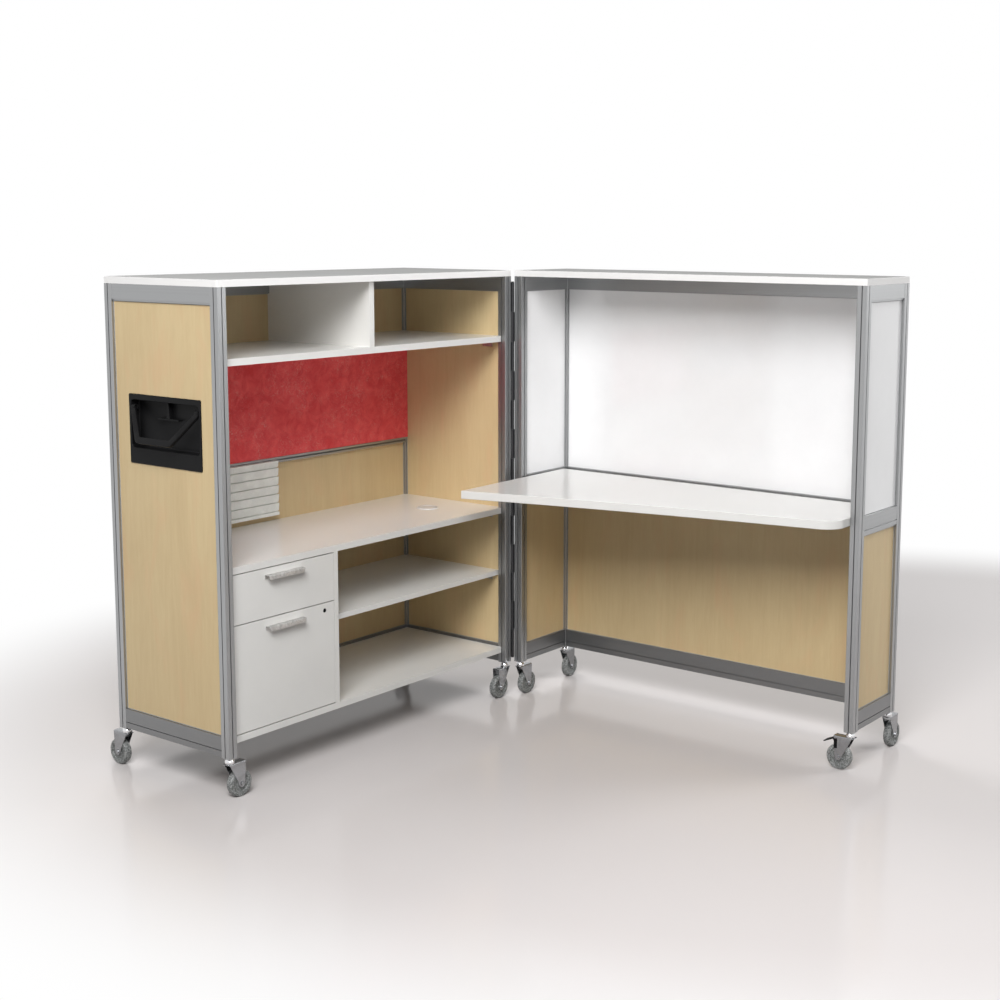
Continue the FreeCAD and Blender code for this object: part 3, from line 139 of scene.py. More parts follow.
class Graph:
    """Node graph that is built with ports."""

    def __init__(self, tree: bpy.types.NodeTree) -> None:
        """Work in that node tree."""
        self.tree = tree

    def node(self, kind: str, settings: Mapping[str, Any] | None = None,
             sockets: Mapping[int | str, Any] | None = None, out: int | str = 0) -> Port:
        """Add a node.

        Args:
            kind: the node's type name.
            settings: its own settings, set first; "stops" holds a ramp's places and colours.
            sockets: values or ports for its inputs, by name or number.
            out: the output wanted.

        Returns:
            A port on that output.
        """
        made = self.tree.nodes.new(kind)
        for name, value in (settings or {}).items():
            if name == "stops":
                self._set_stops(made.color_ramp, value)
            else:
                setattr(made, name, value)
        for name, value in (sockets or {}).items():
            self.feed(made.inputs[name], value)
        return Port(self, made.outputs[out])

    @staticmethod
    def _set_stops(ramp: bpy.types.ColorRamp, stops: Sequence[tuple[float, Colour]]) -> None:
        """Give a colour ramp its stops.

        Args:
            ramp: colour ramp to fill.
            stops: place and colour of each stop.
        """
        while len(ramp.elements) < len(stops):
            ramp.elements.new(1.0)
        for element, (place, colour) in zip(ramp.elements, stops):
            element.position = place
            element.color = colour

    def feed(self, socket: bpy.types.NodeSocket, value: Any) -> None:
        """Link a port to a socket, or set the socket's value.

        Args:
            socket: input socket.
            value: port to link, or the value to set.
        """
        if isinstance(value, Port):
            self.tree.links.new(value.socket, socket)
        else:
            socket.default_value = value

    def rays(self, *kinds: str) -> Port:
        """One for rays of these kinds and zero for all others.

        Args:
            kinds: outputs of the Light Path node.

        Returns:
            Port with the share.
        """
        path = self.tree.nodes.new("ShaderNodeLightPath")
        others = [1 - Port(self, path.outputs[kind]) for kind in kinds]
        share = others[0]
        for other in others[1:]:
            share = share * other
        return 1 - share

    def coordinates(self, stretch: tuple[float, float, float] = (1.0, 1.0, 1.0)) -> Port:
        """Object coordinates, scaled along each direction."""
        place = self.node("ShaderNodeTexCoord", out="Object")
        return self.node("ShaderNodeMapping", {}, {"Vector": place, "Scale": stretch})

    def noise(self, vector: Port, scale: float, detail: float = 2.0, roughness: float = 0.5,
              distortion: float = 0.0) -> Port:
        """Noise from 0 to 1.

        Args:
            vector: where the noise is read.
            scale: how fine it is.
            detail: octaves of finer noise.
            roughness: strength of the finer octaves.
            distortion: how far it is warped.

        Returns:
            Port with the noise.
        """
        return self.node("ShaderNodeTexNoise", {}, {
            "Vector": vector, "Scale": scale, "Detail": detail, "Roughness": roughness,
            "Distortion": distortion})

    def spread(self, value: Port, low: float, high: float, to_low: float = 0.0,
               to_high: float = 1.0) -> Port:
        """Value carried from one range to another, kept inside it.

        Args:
            value: port to carry over.
            low: value that becomes to_low.
            high: value that becomes to_high.
            to_low: start of the new range.
            to_high: end of the new range.

        Returns:
            Port with the carried value.
        """
        return self.node("ShaderNodeMapRange", {"clamp": True}, {
            "Value": value, "From Min": low, "From Max": high, "To Min": to_low,
            "To Max": to_high})

    def mix(self, share: "Port | float", first: "Port | Colour", second: "Port | Colour",
            blend: str = "MIX") -> Port:
        """Colour between two, or one laid on the other."""
        return self.node("ShaderNodeMix", {"data_type": "RGBA", "blend_type": blend},
                         {0: share, 6: first, 7: second}, out=2)

    def bump(self, height: Port, strength: float, distance: float) -> Port:
        """Normal that follows a height."""
        return self.node("ShaderNodeBump", {}, {
            "Height": height, "Strength": strength, "Distance": distance})


class Surface(Graph):
    """Node graph of one material, round its Principled shader."""

    def __init__(self, name: str) -> None:
        """Start a material.

        Args:
            name: the material's name.
        """
        self.material = bpy.data.materials.new(name)
        self.material.use_nodes = True
        super().__init__(self.material.node_tree)
        self.shader = self.tree.nodes["Principled BSDF"]

    def set(self, **values: Any) -> None:
        """Set or link sockets of the Principled shader; underscores stand for spaces."""
        for name, value in values.items():
            self.feed(self.shader.inputs[name.replace("_", " ")], value)


@dataclass(frozen=True)
class Finish(ABC):
    """A surface finish, made once as a material."""

    name: str

    @abstractmethod
    def paint(self, graph: Surface) -> None:
        """Build the finish on the graph's shader.

        Args:
            graph: the material's graph.
        """


@lru_cache(maxsize=None)
def material_of(finish: Finish) -> bpy.types.Material:
    """The material of a finish.

    Args:
        finish: finish to build.

    Returns:
        Material with the finish's nodes.
    """
    graph = Surface(finish.name)
    finish.paint(graph)
    return graph.material


@dataclass(frozen=True)
class Veneer(Finish):
    """Clear-coated maple veneer: soft clouds, long fibres and a faint figure."""

    light: Colour
    dark: Colour
    blush: Colour
    grain: Grain
    gloss: float = 0.36

    def paint(self, graph: Surface) -> None:
        """Build the finish on the graph's shader.

        Args:
            graph: the material's graph.
        """
        along = graph.coordinates(self.grain.value)
        easy = graph.coordinates(tuple(0.35 if share < 1 else 1.0 for share in self.grain.value))
        cloud = graph.noise(easy, 7.0, 4.0, 0.6, 0.9)
        blush = graph.noise(easy, 13.0, 3.0, 0.55, 0.5)
        fibre = graph.noise(along, 420.0, 4.0, 0.6)
        streak = graph.noise(along, 60.0, 3.0, 0.5, 1.2)
        tone = graph.spread(cloud, 0.3, 0.7) * 0.5 + graph.spread(streak, 0.35, 0.65) * 0.22
        tone = tone + graph.spread(fibre, 0.35, 0.65) * 0.16
        ground = graph.mix(tone, self.light, self.dark)
        colour = graph.mix(graph.spread(blush, 0.52, 0.72) * 0.5, ground, self.blush)
        graph.set(Base_Color=colour, Roughness=fibre * 0.14 + self.gloss,
                  Normal=graph.bump(fibre + streak, 0.12, 0.0004))
        graph.set(Coat_Weight=0.12, Coat_Roughness=0.22, IOR=1.45)


@dataclass(frozen=True)
class Laminate(Finish):
    """Smooth laminate or board with the slight ripple of a pressed surface."""

    colour: Colour
    roughness: float
    coat: float = 0.0

    def paint(self, graph: Surface) -> None:
        """Build the finish on the graph's shader.

        Args:
            graph: the material's graph.
        """
        place = graph.coordinates()
        ripple = graph.noise(place, 260.0, 2.0, 0.5)
        smear = graph.noise(place, 5.0, 4.0, 0.6)
        shade = tuple(level * 0.965 for level in self.colour[:3]) + (1.0,)
        graph.set(Base_Color=graph.mix(graph.spread(smear, 0.35, 0.65), self.colour, shade),
                  Roughness=smear * 0.1 + (self.roughness - 0.05),
                  Normal=graph.bump(ripple, 0.04, 0.0003))
        graph.set(Coat_Weight=self.coat, Coat_Roughness=0.06, IOR=1.5)


@dataclass(frozen=True)
class EdgedTop(Finish):
    """Board with a white band round its edge and painted shade on its top face, which is coloured
    grey for its dull look under grazing light.
    """

    face: Colour
    band: Colour
    level: float
    roughness: float = 0.3

    def paint(self, graph: Surface) -> None:
        """Build the finish on the graph's shader.

        Args:
            graph: the material's graph.
        """
        place = graph.coordinates()
        height = graph.node("ShaderNodeSeparateXYZ", {}, {"Vector": place}, out="Z")
        on_top = graph.node("ShaderNodeMath", {"operation": "GREATER_THAN"},
                            {0: height, 1: self.level - 2e-4})
        ripple = graph.noise(place, 260.0, 2.0, 0.5)
        smear = graph.noise(place, 4.0, 4.0, 0.6)
        shade = tuple(level * 0.95 for level in self.face[:3]) + (1.0,)
        face = graph.mix(graph.spread(smear, 0.35, 0.65), self.face, shade)
        # Painted shade: the top face takes the grey face colour, standing in for the dull look of
        # the top under grazing light; the edges keep the white band, and only they get a clear
        # coat.
        graph.set(Base_Color=graph.mix(on_top, self.band, face),
                  Roughness=smear * 0.1 + (self.roughness - 0.05),
                  Normal=graph.bump(ripple, 0.04, 0.0003),
                  Coat_Weight=(1.0 - on_top) * 0.3)
        graph.set(Specular_IOR_Level=0.0, Coat_Roughness=0.2)


@dataclass(frozen=True)
class Anodised(Finish):
    """Extruded metal with drawing marks along its length under a satin skin."""

    colour: Colour
    grain: Grain
    roughness: float = 0.36
    # share of the colour kept below foot_height; under one it paints shade near the floor
    painted_foot_shade: float = 1.0
    foot_height: float = 0.2

    def paint(self, graph: Surface) -> None:
        """Build the finish on the graph's shader.

        Args:
            graph: the material's graph.
        """
        fine = tuple(share * share * 0.2 if share < 1 else 1.0 for share in self.grain.value)
        drawn = graph.noise(graph.coordinates(fine), 900.0, 3.0, 0.6)
        band = graph.noise(graph.coordinates(fine), 120.0, 2.0, 0.5)
        shade = tuple(level * 0.93 for level in self.colour[:3]) + (1.0,)
        tone = graph.spread(drawn, 0.3, 0.7) * 0.6 + graph.spread(band, 0.35, 0.65) * 0.4
        metal = graph.mix(tone, self.colour, shade)
        # Painted shade: below foot_height the colour is darkened by painted_foot_shade, standing
        # in for the shade that falls on the metal near the floor.
        if self.painted_foot_shade < 1.0:
            height = graph.node("ShaderNodeSeparateXYZ", {}, {"Vector": graph.coordinates()},
                                out="Z")
            dark = tuple(level * self.painted_foot_shade for level in self.colour[:3]) + (1.0,)
            above = graph.spread(height, self.foot_height, self.foot_height + 1e-3)
            metal = graph.mix(above, dark, metal)
        graph.set(Base_Color=metal, Roughness=drawn * 0.16 + (self.roughness - 0.08),
                  Normal=graph.bump(drawn, 0.06, 0.0002))
        graph.set(Metallic=0.92, IOR=1.5)


@dataclass(frozen=True)
class Felt(Finish):
    """Dense red felt: clouded, flecked with pale fibres, over a fine weave."""

    deep: Colour
    bright: Colour
    fleck: Colour

    def paint(self, graph: Surface) -> None:
        """Build the finish on the graph's shader.

        Args:
            graph: the material's graph.
        """
        place = graph.coordinates()
        cloud = graph.spread(graph.noise(place, 26.0, 6.0, 0.68, 0.8), 0.36, 0.64)
        patch = graph.spread(graph.noise(place, 9.0, 3.0, 0.6, 0.6), 0.38, 0.62)
        wisp = graph.spread(graph.noise(place, 110.0, 4.0, 0.72, 1.6), 0.5, 0.7) * patch
        fibre = graph.noise(place, 900.0, 3.0, 0.7)
        weave = graph.node("ShaderNodeTexWave", {"wave_type": "BANDS", "bands_direction": "Z"},
                           {"Vector": place, "Scale": 260.0, "Distortion": 1.4,
                            "Detail": 1.0, "Detail Scale": 3.0}, out="Fac")
        cross = graph.node("ShaderNodeTexWave", {"wave_type": "BANDS", "bands_direction": "X"},
                           {"Vector": place, "Scale": 260.0, "Distortion": 1.4,
                            "Detail": 1.0, "Detail Scale": 3.0}, out="Fac")
        ground = graph.mix(cloud, self.deep, self.bright)
        flecked = graph.mix(wisp * 0.6, ground, self.fleck)
        graph.set(Base_Color=graph.mix(fibre * 0.15, flecked, self.deep),
                  Roughness=fibre * 0.12 + 0.82,
                  Normal=graph.bump(weave * 0.5 + cross * 0.5 + fibre, 0.35, 0.0006))
        graph.set(Sheen_Weight=0.35, Sheen_Roughness=0.5, Sheen_Tint=self.fleck)


@dataclass(frozen=True)
class Moulded(Finish):
    """Injection-moulded plastic with a spark-eroded grain."""

    colour: Colour
    roughness: float
    gloss: float = 0.5
    grain_scale: float = 1400.0
    depth: float = 0.12

    def paint(self, graph: Surface) -> None:
        """Build the finish on the graph's shader.

        Args:
            graph: the material's graph.
        """
        place = graph.coordinates()
        grain = graph.noise(place, self.grain_scale, 2.0, 0.6)
        wear = graph.noise(place, 24.0, 4.0, 0.6)
        lighter = tuple(level * 1.35 + 0.002 for level in self.colour[:3]) + (1.0,)
        graph.set(Base_Color=graph.mix(graph.spread(wear, 0.4, 0.75) * 0.5, self.colour, lighter),
                  Roughness=wear * 0.14 + (self.roughness - 0.07),
                  Normal=graph.bump(grain, self.depth, 0.0003))
        graph.set(IOR=1.48, Specular_IOR_Level=self.gloss)


@dataclass(frozen=True)
class Plated(Finish):
    """Plated or polished steel with faint smears."""

    colour: Colour
    roughness: float
    dark: float = 0.9

    def paint(self, graph: Surface) -> None:
        """Build the finish on the graph's shader.

        Args:
            graph: the material's graph.
        """
        place = graph.coordinates()
        smear = graph.noise(place, 70.0, 5.0, 0.65, 0.8)
        shade = tuple(level * self.dark for level in self.colour[:3]) + (1.0,)
        graph.set(Base_Color=graph.mix(graph.spread(smear, 0.35, 0.7), self.colour, shade),
                  Roughness=graph.spread(smear, 0.3, 0.75, self.roughness * 0.7,
                                         self.roughness * 1.5))
        graph.set(Metallic=1.0)


@dataclass(frozen=True)
class Speckled(Finish):
    """Cast polyurethane with dark and pale specks through it."""

    ground: Colour
    dark: Colour
    pale: Colour
    roughness: float = 0.42

    def paint(self, graph: Surface) -> None:
        """Build the finish on the graph's shader.

        Args:
            graph: the material's graph.
        """
        place = graph.coordinates()
        blots = graph.spread(graph.noise(place, 210.0, 4.0, 0.7, 0.6), 0.44, 0.58)
        sparks = graph.spread(graph.noise(place, 420.0, 2.0, 0.6), 0.58, 0.66)
        graph.set(Base_Color=graph.mix(sparks * 0.6, graph.mix(blots, self.dark, self.ground),
                                       self.pale),
                  Roughness=blots * 0.15 + (self.roughness - 0.07),
                  Normal=graph.bump(blots, 0.15, 0.0003))
        graph.set(IOR=1.5)


@dataclass(frozen=True)
class StudioFloor(Finish):
    """Pale polished floor that mirrors softly and fades to white away from the object."""

    colour: Colour
    roughness: float
    bounce: Colour = screen_colour(150, 148, 147)
    middle: tuple[float, float, float] = (1.123, -0.508, 0.0)
    radii: tuple[float, float, float] = (2.6, 3.3, 1.0)
    turn: float = 37.3
    fade_start: float = 0.7
    fade_end: float = 1.0

    def paint(self, graph: Surface) -> None:
        """Build the finish on the graph's shader.

        Args:
            graph: the material's graph.
        """
        place = graph.coordinates()
        drift = graph.noise(place, 0.5, 2.0, 0.5)
        seen = graph.rays("Is Camera Ray", "Is Glossy Ray", "Is Transmission Ray")
        graph.set(Base_Color=graph.mix(seen, self.bounce, self.colour),
                  Roughness=drift * 0.04 + (self.roughness - 0.02))
        graph.set(IOR=1.26)
        oval = graph.node("ShaderNodeMapping", {"vector_type": "TEXTURE"}, {
            "Vector": place, "Location": self.middle, "Scale": self.radii,
            "Rotation": (0.0, 0.0, math.radians(self.turn))})
        distance = graph.node("ShaderNodeVectorMath", {"operation": "LENGTH"}, {0: oval},
                              out="Value")
        fade = graph.node("ShaderNodeMapRange", {"interpolation_type": "SMOOTHSTEP"}, {
            "Value": distance, "From Min": self.fade_start, "From Max": self.fade_end})
        white = graph.node("ShaderNodeEmission", {}, {"Color": (1.0, 1.0, 1.0, 1.0)})
        covered = graph.node("ShaderNodeMixShader", {}, {
            0: fade * seen, 1: Port(graph, graph.shader.outputs[0]), 2: white})
        graph.feed(graph.tree.nodes["Material Output"].inputs["Surface"], covered)


MAPLE_LIGHT = screen_colour(220, 198, 154)
MAPLE_DARK = screen_colour(206, 180, 136)
MAPLE_BLUSH = screen_colour(220, 184, 142)
MAPLE = Veneer("maple_veneer", MAPLE_LIGHT, MAPLE_DARK, MAPLE_BLUSH, Grain.UPRIGHT)
METAL_GREY = screen_colour(166, 167, 168)
METAL = {grain: Anodised(f"anodised_{grain.name.lower()}", METAL_GREY, grain)
         for grain in (Grain.UPRIGHT, Grain.ALONG_X)}
# The bottom rails get painted shade: their metal is darker near the floor.
RAIL_METAL = Anodised("anodised_rails", METAL_GREY, Grain.LEVEL, painted_foot_shade=0.62)
WHITE = Laminate("white_laminate", screen_colour(236, 235, 232), 0.24, 0.25)
# The top boards' grey top face is painted shade; their edges are white.
TOP_BOARD = EdgedTop("edged_top", screen_colour(174, 174, 173), screen_colour(246, 245, 244),
                     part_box("storage_top")[1].z)
MARKER_BOARD = Laminate("white_marker_board", screen_colour(247, 247, 248), 0.12, 0.8)
# Painted light: the felt's deep, bright and fleck colours are lighter than the felt's own, to make
# up for the shade that falls on it under the upper shelf.
RED_FELT = Felt("red_felt", screen_colour(230, 62, 66), screen_colour(252, 96, 98),
                screen_colour(250, 176, 176))
PALE_PLASTIC = Moulded("pale_plastic", screen_colour(234, 236, 232), 0.5)
GREY_PLASTIC = Moulded("grey_plastic", screen_colour(206, 206, 204), 0.38)
BLACK_PLASTIC = Moulded("black_plastic", screen_colour(17, 17, 18), 0.46, 0.12)
GASKET = Moulded("grey_gasket", screen_colour(160, 161, 162), 0.6)
CHROME = Plated("bright_chrome", screen_colour(228, 228, 230), 0.09)
ZINC_FORK = Plated("zinc_fork", screen_colour(158, 159, 161), 0.2, 0.84)
BRIGHT_ZINC = Plated("bright_zinc", screen_colour(196, 198, 200), 0.3, 0.82)
SATIN_STEEL = Plated("satin_steel", screen_colour(224, 223, 221), 0.4, 0.6)
DARK_STEEL = Plated("dark_steel", screen_colour(66, 66, 68), 0.38, 0.8)
TYRE = Speckled("speckled_tyre", screen_colour(158, 160, 159), screen_colour(92, 95, 94),
                screen_colour(206, 208, 206))
HUB = Speckled("speckled_hub", screen_colour(146, 148, 147), screen_colour(88, 91, 90),
               screen_colour(196, 198, 196), 0.5)
FLOOR = StudioFloor("studio_floor", screen_colour(217, 212, 211), 0.14)


# Outlines and meshes

def rounded(points: Sequence[Point2], radius: float | Sequence[float], steps: int = 6,
            closed: bool = True) -> list[Point2]:
    """Outline with its corners rounded.

    Args:
        points: corners in order.
        radius: one radius for all corners, or one for each.
        steps: straight pieces in each rounded corner.
        closed: whether the last point joins the first.

    Returns:
        The outline's points.
    """
    radii = [radius] * len(points) if isinstance(radius, (int, float)) else list(radius)
    outline: list[Point2] = []
    for index, (corner, bend) in enumerate(zip(points, radii)):
        inner = closed or 0 < index < len(points) - 1
        if bend <= TINY or not inner:
            outline.append(corner)
            continue
        here = Vector(corner)
        before = (Vector(points[index - 1]) - here)
        after = (Vector(points[(index + 1) % len(points)]) - here)
        half_turn = before.angle(after) / 2
        reach = min(bend / math.tan(half_turn), before.length / 2, after.length / 2)
        bend = reach * math.tan(half_turn)
        centre = here + (before.normalized() + after.normalized()).normalized() * (
            bend / math.sin(half_turn))
        start = here + before.normalized() * reach - centre
        finish = here + after.normalized() * reach - centre
        sweep = start.angle_signed(finish)
        for step in range(steps + 1):
            turn = Matrix.Rotation(-sweep * step / steps, 2)
            spot = centre + turn @ start
            outline.append((spot.x, spot.y))
    return outline


def rectangle(width: float, height: float, across: float = 0.0, up: float = 0.0) -> list[Point2]:
    """Corners of a rectangle round a middle.

    Args:
        width: size along the first direction.
        height: size along the second direction.
        across: middle's place along the first direction.
        up: middle's place along the second direction.

    Returns:
        Four corners from the lower left one, anticlockwise.
    """
    half, rise = width / 2, height / 2
    return [(across - half, up - rise), (across + half, up - rise),
            (across + half, up + rise), (across - half, up + rise)]


class Workpiece:
    """A mesh in the making, which ends as a dressed piece of the model."""

    def __init__(self, name: str) -> None:
        """Start an empty mesh.

        Args:
            name: name of the piece.
        """
        self.name = name
        self.mesh = bmesh.new()
        self.softening = 0.0

    def rings(self, loops: Iterable[Sequence[Vector]], closed: bool = True,
              caps: bool = True) -> "Workpiece":
        """Skin between loops of equally many points.

        Args:
            loops: the loops, from one end to the other.
            closed: whether each loop joins its own start.
            caps: whether the first and last loops are filled.

        Returns:
            The same workpiece.
        """
        rows = [[self.mesh.verts.new(point) for point in loop] for loop in loops]
        count = len(rows[0])
        for low, high in zip(rows, rows[1:]):
            for index in range(count if closed else count - 1):
                following = (index + 1) % count
                self.mesh.faces.new((low[index], low[following], high[following], high[index]))
        if caps:
            self.mesh.faces.new(reversed(rows[0]))
            self.mesh.faces.new(rows[-1])
        return self

    def lathe(self, profile: Sequence[Point2], place: Matrix, segments: int = 56) -> "Workpiece":
        """Turn a closed profile about the place's own z direction.

        Args:
            profile: radius and height of each corner.
            place: where the turned form goes.
            segments: steps round the circle.

        Returns:
            The workpiece itself.
        """
        rows = []
        for step in range(segments):
            turn = math.tau * step / segments
            rows.append([self.mesh.verts.new(place @ Vector(
                (radius * math.cos(turn), radius * math.sin(turn), height)))
                for radius, height in profile])
        for index, row in enumerate(rows):
            following = rows[(index + 1) % segments]
            for spot in range(len(profile)):
                other = (spot + 1) % len(profile)
                self.mesh.faces.new((row[spot], following[spot], following[other], row[other]))
        return self

    def prism(self, outline: Sequence[Point2], low: float, high: float,
              place: Matrix) -> "Workpiece":
        """Outline in the place's own x and y, drawn out along its z."""
        return self.rings([[place @ Vector((x, y, level)) for x, y in outline]
                           for level in (low, high)])

    def soften(self, width: float) -> "Workpiece":
        """Round the sharp edges by this width when the piece is finished."""
        self.softening = width
        return self

    def finish(self, body: str, slot: str, finish: Finish, *replaced: str) -> bpy.types.Object:
        """Make the piece.

        Args:
            body: the CAD body that it moves with.
            slot: the record's material slot that it belongs to; not used.
            finish: its finish.
            replaced: the CAD nodes that it stands for.

        Returns:
            The piece's object.
        """
        bmesh.ops.remove_doubles(self.mesh, verts=self.mesh.verts, dist=TINY)
        bmesh.ops.recalc_face_normals(self.mesh, faces=self.mesh.faces)
        data = bpy.data.meshes.new(self.name)
        self.mesh.to_mesh(data)
        self.mesh.free()
        return dress(self.name, data, body, finish, replaced, self.softening)


def dress(name: str, data: bpy.types.Mesh, body: str, finish: Finish | None,
          replaced: Iterable[str] = (), softening: float = 0.0) -> bpy.types.Object:
    """Put a mesh in the scene as a finished piece.

    Args:
        name: the piece's name.
        data: its mesh, in the frame's directions.
        body: the CAD body that it moves with.
        finish: its finish, or None where the mesh has its materials already.
        replaced: CAD nodes that it stands for.
        softening: width of the rounding on its sharp edges.

    Returns:
        The piece's object.
    """
    piece = bpy.data.objects.new(name, data)
    bpy.context.scene.collection.objects.link(piece)
    if finish is not None:
        data.materials.append(material_of(finish))
    for face in data.polygons:
        face.use_smooth = True
    if softening:
        bevel = piece.modifiers.new("softened_edges", "BEVEL")
        bevel.width = softening
        bevel.segments = 2
        bevel.limit_method = "ANGLE"
        bevel.angle_limit = math.radians(40)
        bevel.harden_normals = True
    data.set_sharp_from_angle(angle=math.radians(34))
    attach(piece, body)
    if replaced:
        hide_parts(*replaced)
    log.info("piece %s on %s", name, body)
    return piece


def coat(finish: Finish, *nodes: str) -> None:
    """Give CAD nodes a finish.

    Args:
        finish: finish for every slot of the nodes.
        nodes: names of the CAD nodes.
    """
    for name in nodes:
        for holder in frame["nodes"][name].material_slots:
            holder.material = material_of(finish)
        log.info("node %s: %s", name, finish.name)


def centre_of(node: str) -> Vector:
    """Middle of a CAD node's box."""
    low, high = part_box(node)
    return (low + high) / 2


def joint_named(name: str) -> Mapping[str, Any]:
    """A joint of the frame by its name."""
    return next(joint for joint in frame["joints"] if joint["name"] == name)


def facing(origin: Vector, across: Vector, up: Vector) -> Matrix:
    """Place turned to two directions.

    Args:
        origin: where the place is.
        across: direction of its own x.
        up: direction of its own y.

    Returns:
        The place as a matrix.
    """
    out = across.cross(up)
    place = Matrix((across, up, out)).transposed().to_4x4()
    place.translation = origin
    return place


# Repeats made by geometry nodes

STUD_INPUTS = {
    "Count": "NodeSocketInt", "Rows": "NodeSocketInt", "Start": "NodeSocketVector",
    "Step": "NodeSocketVector", "Row Step": "NodeSocketVector", "Stagger": "NodeSocketVector",
    "Turn": "NodeSocketRotation", "Sides": "NodeSocketInt", "Foot Radius": "NodeSocketFloat",
    "Head Radius": "NodeSocketFloat", "Height": "NodeSocketFloat",
    "Spin": "NodeSocketRotation", "Stretch": "NodeSocketVector",
    "Material": "NodeSocketMaterial"}


@lru_cache(maxsize=None)
def stud_tree() -> bpy.types.NodeTree:
    """Geometry nodes that lay studs out in rows, built once.

    Returns:
        A node group with the inputs of STUD_INPUTS, which ends in plain, finished geometry.
    """
    tree = bpy.data.node_groups.new("stud_rows", "GeometryNodeTree")
    face = tree.interface
    face.new_socket("Geometry", in_out="INPUT", socket_type="NodeSocketGeometry")
    for name, kind in STUD_INPUTS.items():
        face.new_socket(name, in_out="INPUT", socket_type=kind)
    face.new_socket("Geometry", in_out="OUTPUT", socket_type="NodeSocketGeometry")
    graph = Graph(tree)
    entry = tree.nodes.new("NodeGroupInput")
    given = {name: Port(graph, entry.outputs[name]) for name in STUD_INPUTS}

    def scaled(vector: Port, share: Port) -> Port:
        """Vector times a number."""
        return graph.node("ShaderNodeVectorMath", {"operation": "SCALE"},
                          {0: vector, "Scale": share})

    def together(first: Port, second: Port) -> Port:
        """Sum of two vectors."""
        return graph.node("ShaderNodeVectorMath", {"operation": "ADD"}, {0: first, 1: second})

    def whole(operation: str, first: Port, second: Port | float) -> Port:
        """Result of a Math node on whole numbers."""
        return graph.node("ShaderNodeMath", {"operation": operation}, {0: first, 1: second})

    index = graph.node("GeometryNodeInputIndex")
    column = whole("FLOORED_MODULO", index, given["Count"])
    row = whole("FLOOR", whole("DIVIDE", index + 0.5, given["Count"]), 0.0)
    place = together(given["Start"], scaled(given["Step"], column))
    place = together(place, scaled(given["Row Step"], row))
    place = together(place, scaled(given["Stagger"], whole("FLOORED_MODULO", column, 2.0)))
    line = graph.node("GeometryNodeMeshLine", {"mode": "OFFSET"},
                      {"Count": given["Count"] * given["Rows"], "Offset": (0.0, 0.0, 0.0)})
    points = graph.node("GeometryNodeSetPosition", {}, {"Geometry": line, "Position": place})
    stud = graph.node("GeometryNodeMeshCone", {}, {
        "Vertices": given["Sides"], "Radius Top": given["Head Radius"],
        "Radius Bottom": given["Foot Radius"], "Depth": given["Height"]})
    turned = graph.node("GeometryNodeTransform", {}, {"Geometry": stud, "Rotation": given["Spin"]})
    shaped = graph.node("GeometryNodeTransform", {}, {"Geometry": turned,
                                                      "Scale": given["Stretch"]})
    spread = graph.node("GeometryNodeInstanceOnPoints", {}, {
        "Points": points, "Instance": shaped, "Rotation": given["Turn"]})
    real = graph.node("GeometryNodeRealizeInstances", {}, {"Geometry": spread})
    done = graph.node("GeometryNodeSetMaterial", {}, {"Geometry": real,
                                                      "Material": given["Material"]})
    leaving = tree.nodes.new("NodeGroupOutput")
    graph.feed(leaving.inputs["Geometry"], done)
    return tree


@dataclass(frozen=True)
class Stud:
    """Low stud, such as a screw's head or a ridge: a frustum, spun, then stretched."""

    foot_radius: float
    head_radius: float
    height: float
    sides: int
    finish: Finish
    spin: float = 0.0
    stretch: tuple[float, float, float] = (1.0, 1.0, 1.0)

    def lay(self, name: str, body: str, slot: str, place: Matrix, start: Sequence[float],
            step: Sequence[float], count: int, rows: int = 1,
            row_step: Sequence[float] = (0.0, 0.0, 0.0),
            stagger: Sequence[float] = (0.0, 0.0, 0.0)) -> bpy.types.Object:
        """Lay studs in rows as one plain mesh.

        Args:
            name: the piece's name.
            body: the CAD body that it moves with.
            slot: the record's material slot; not used.
            place: where the rows lie, with the studs standing along its own z.
            start: the first stud, in the place's own directions, as are the next three.
            step: from each stud to the next in its row.
            count: studs in a row.
            rows: how many rows.
            row_step: from each row to the next.
            stagger: how far every second stud is shifted.

        Returns:
            The piece's object.
        """
        turn = place.to_3x3()
        values = {
            "Count": count, "Rows": rows, "Start": place @ Vector(start),
            "Step": turn @ Vector(step), "Row Step": turn @ Vector(row_step),
            "Stagger": turn @ Vector(stagger), "Turn": turn.to_euler(), "Sides": self.sides,
            "Foot Radius": self.foot_radius, "Head Radius": self.head_radius,
            "Height": self.height, "Spin": Euler((0.0, 0.0, math.radians(self.spin))),
            "Stretch": Vector(self.stretch), "Material": material_of(self.finish)}
        tree = stud_tree()
        holder = bpy.data.objects.new("row_holder", bpy.data.meshes.new("row_holder"))
        bpy.context.scene.collection.objects.link(holder)
        laid = holder.modifiers.new("rows", "NODES")
        laid.node_group = tree
        for item in tree.interface.items_tree:
            if item.in_out == "INPUT" and item.name in values:
                laid[item.identifier] = values[item.name]
        graph = bpy.context.evaluated_depsgraph_get()
        data = bpy.data.meshes.new_from_object(holder.evaluated_get(graph))
        holder.modifiers.remove(laid)
        bpy.data.objects.remove(holder)
        data.name = name
        return dress(name, data, body, None)


# Sub-assemblies

class Assembly(ABC):
    """A part of the workstation that builds its own pieces."""

    @abstractmethod
    def build(self) -> None:
        """Build the pieces and finish the CAD nodes."""


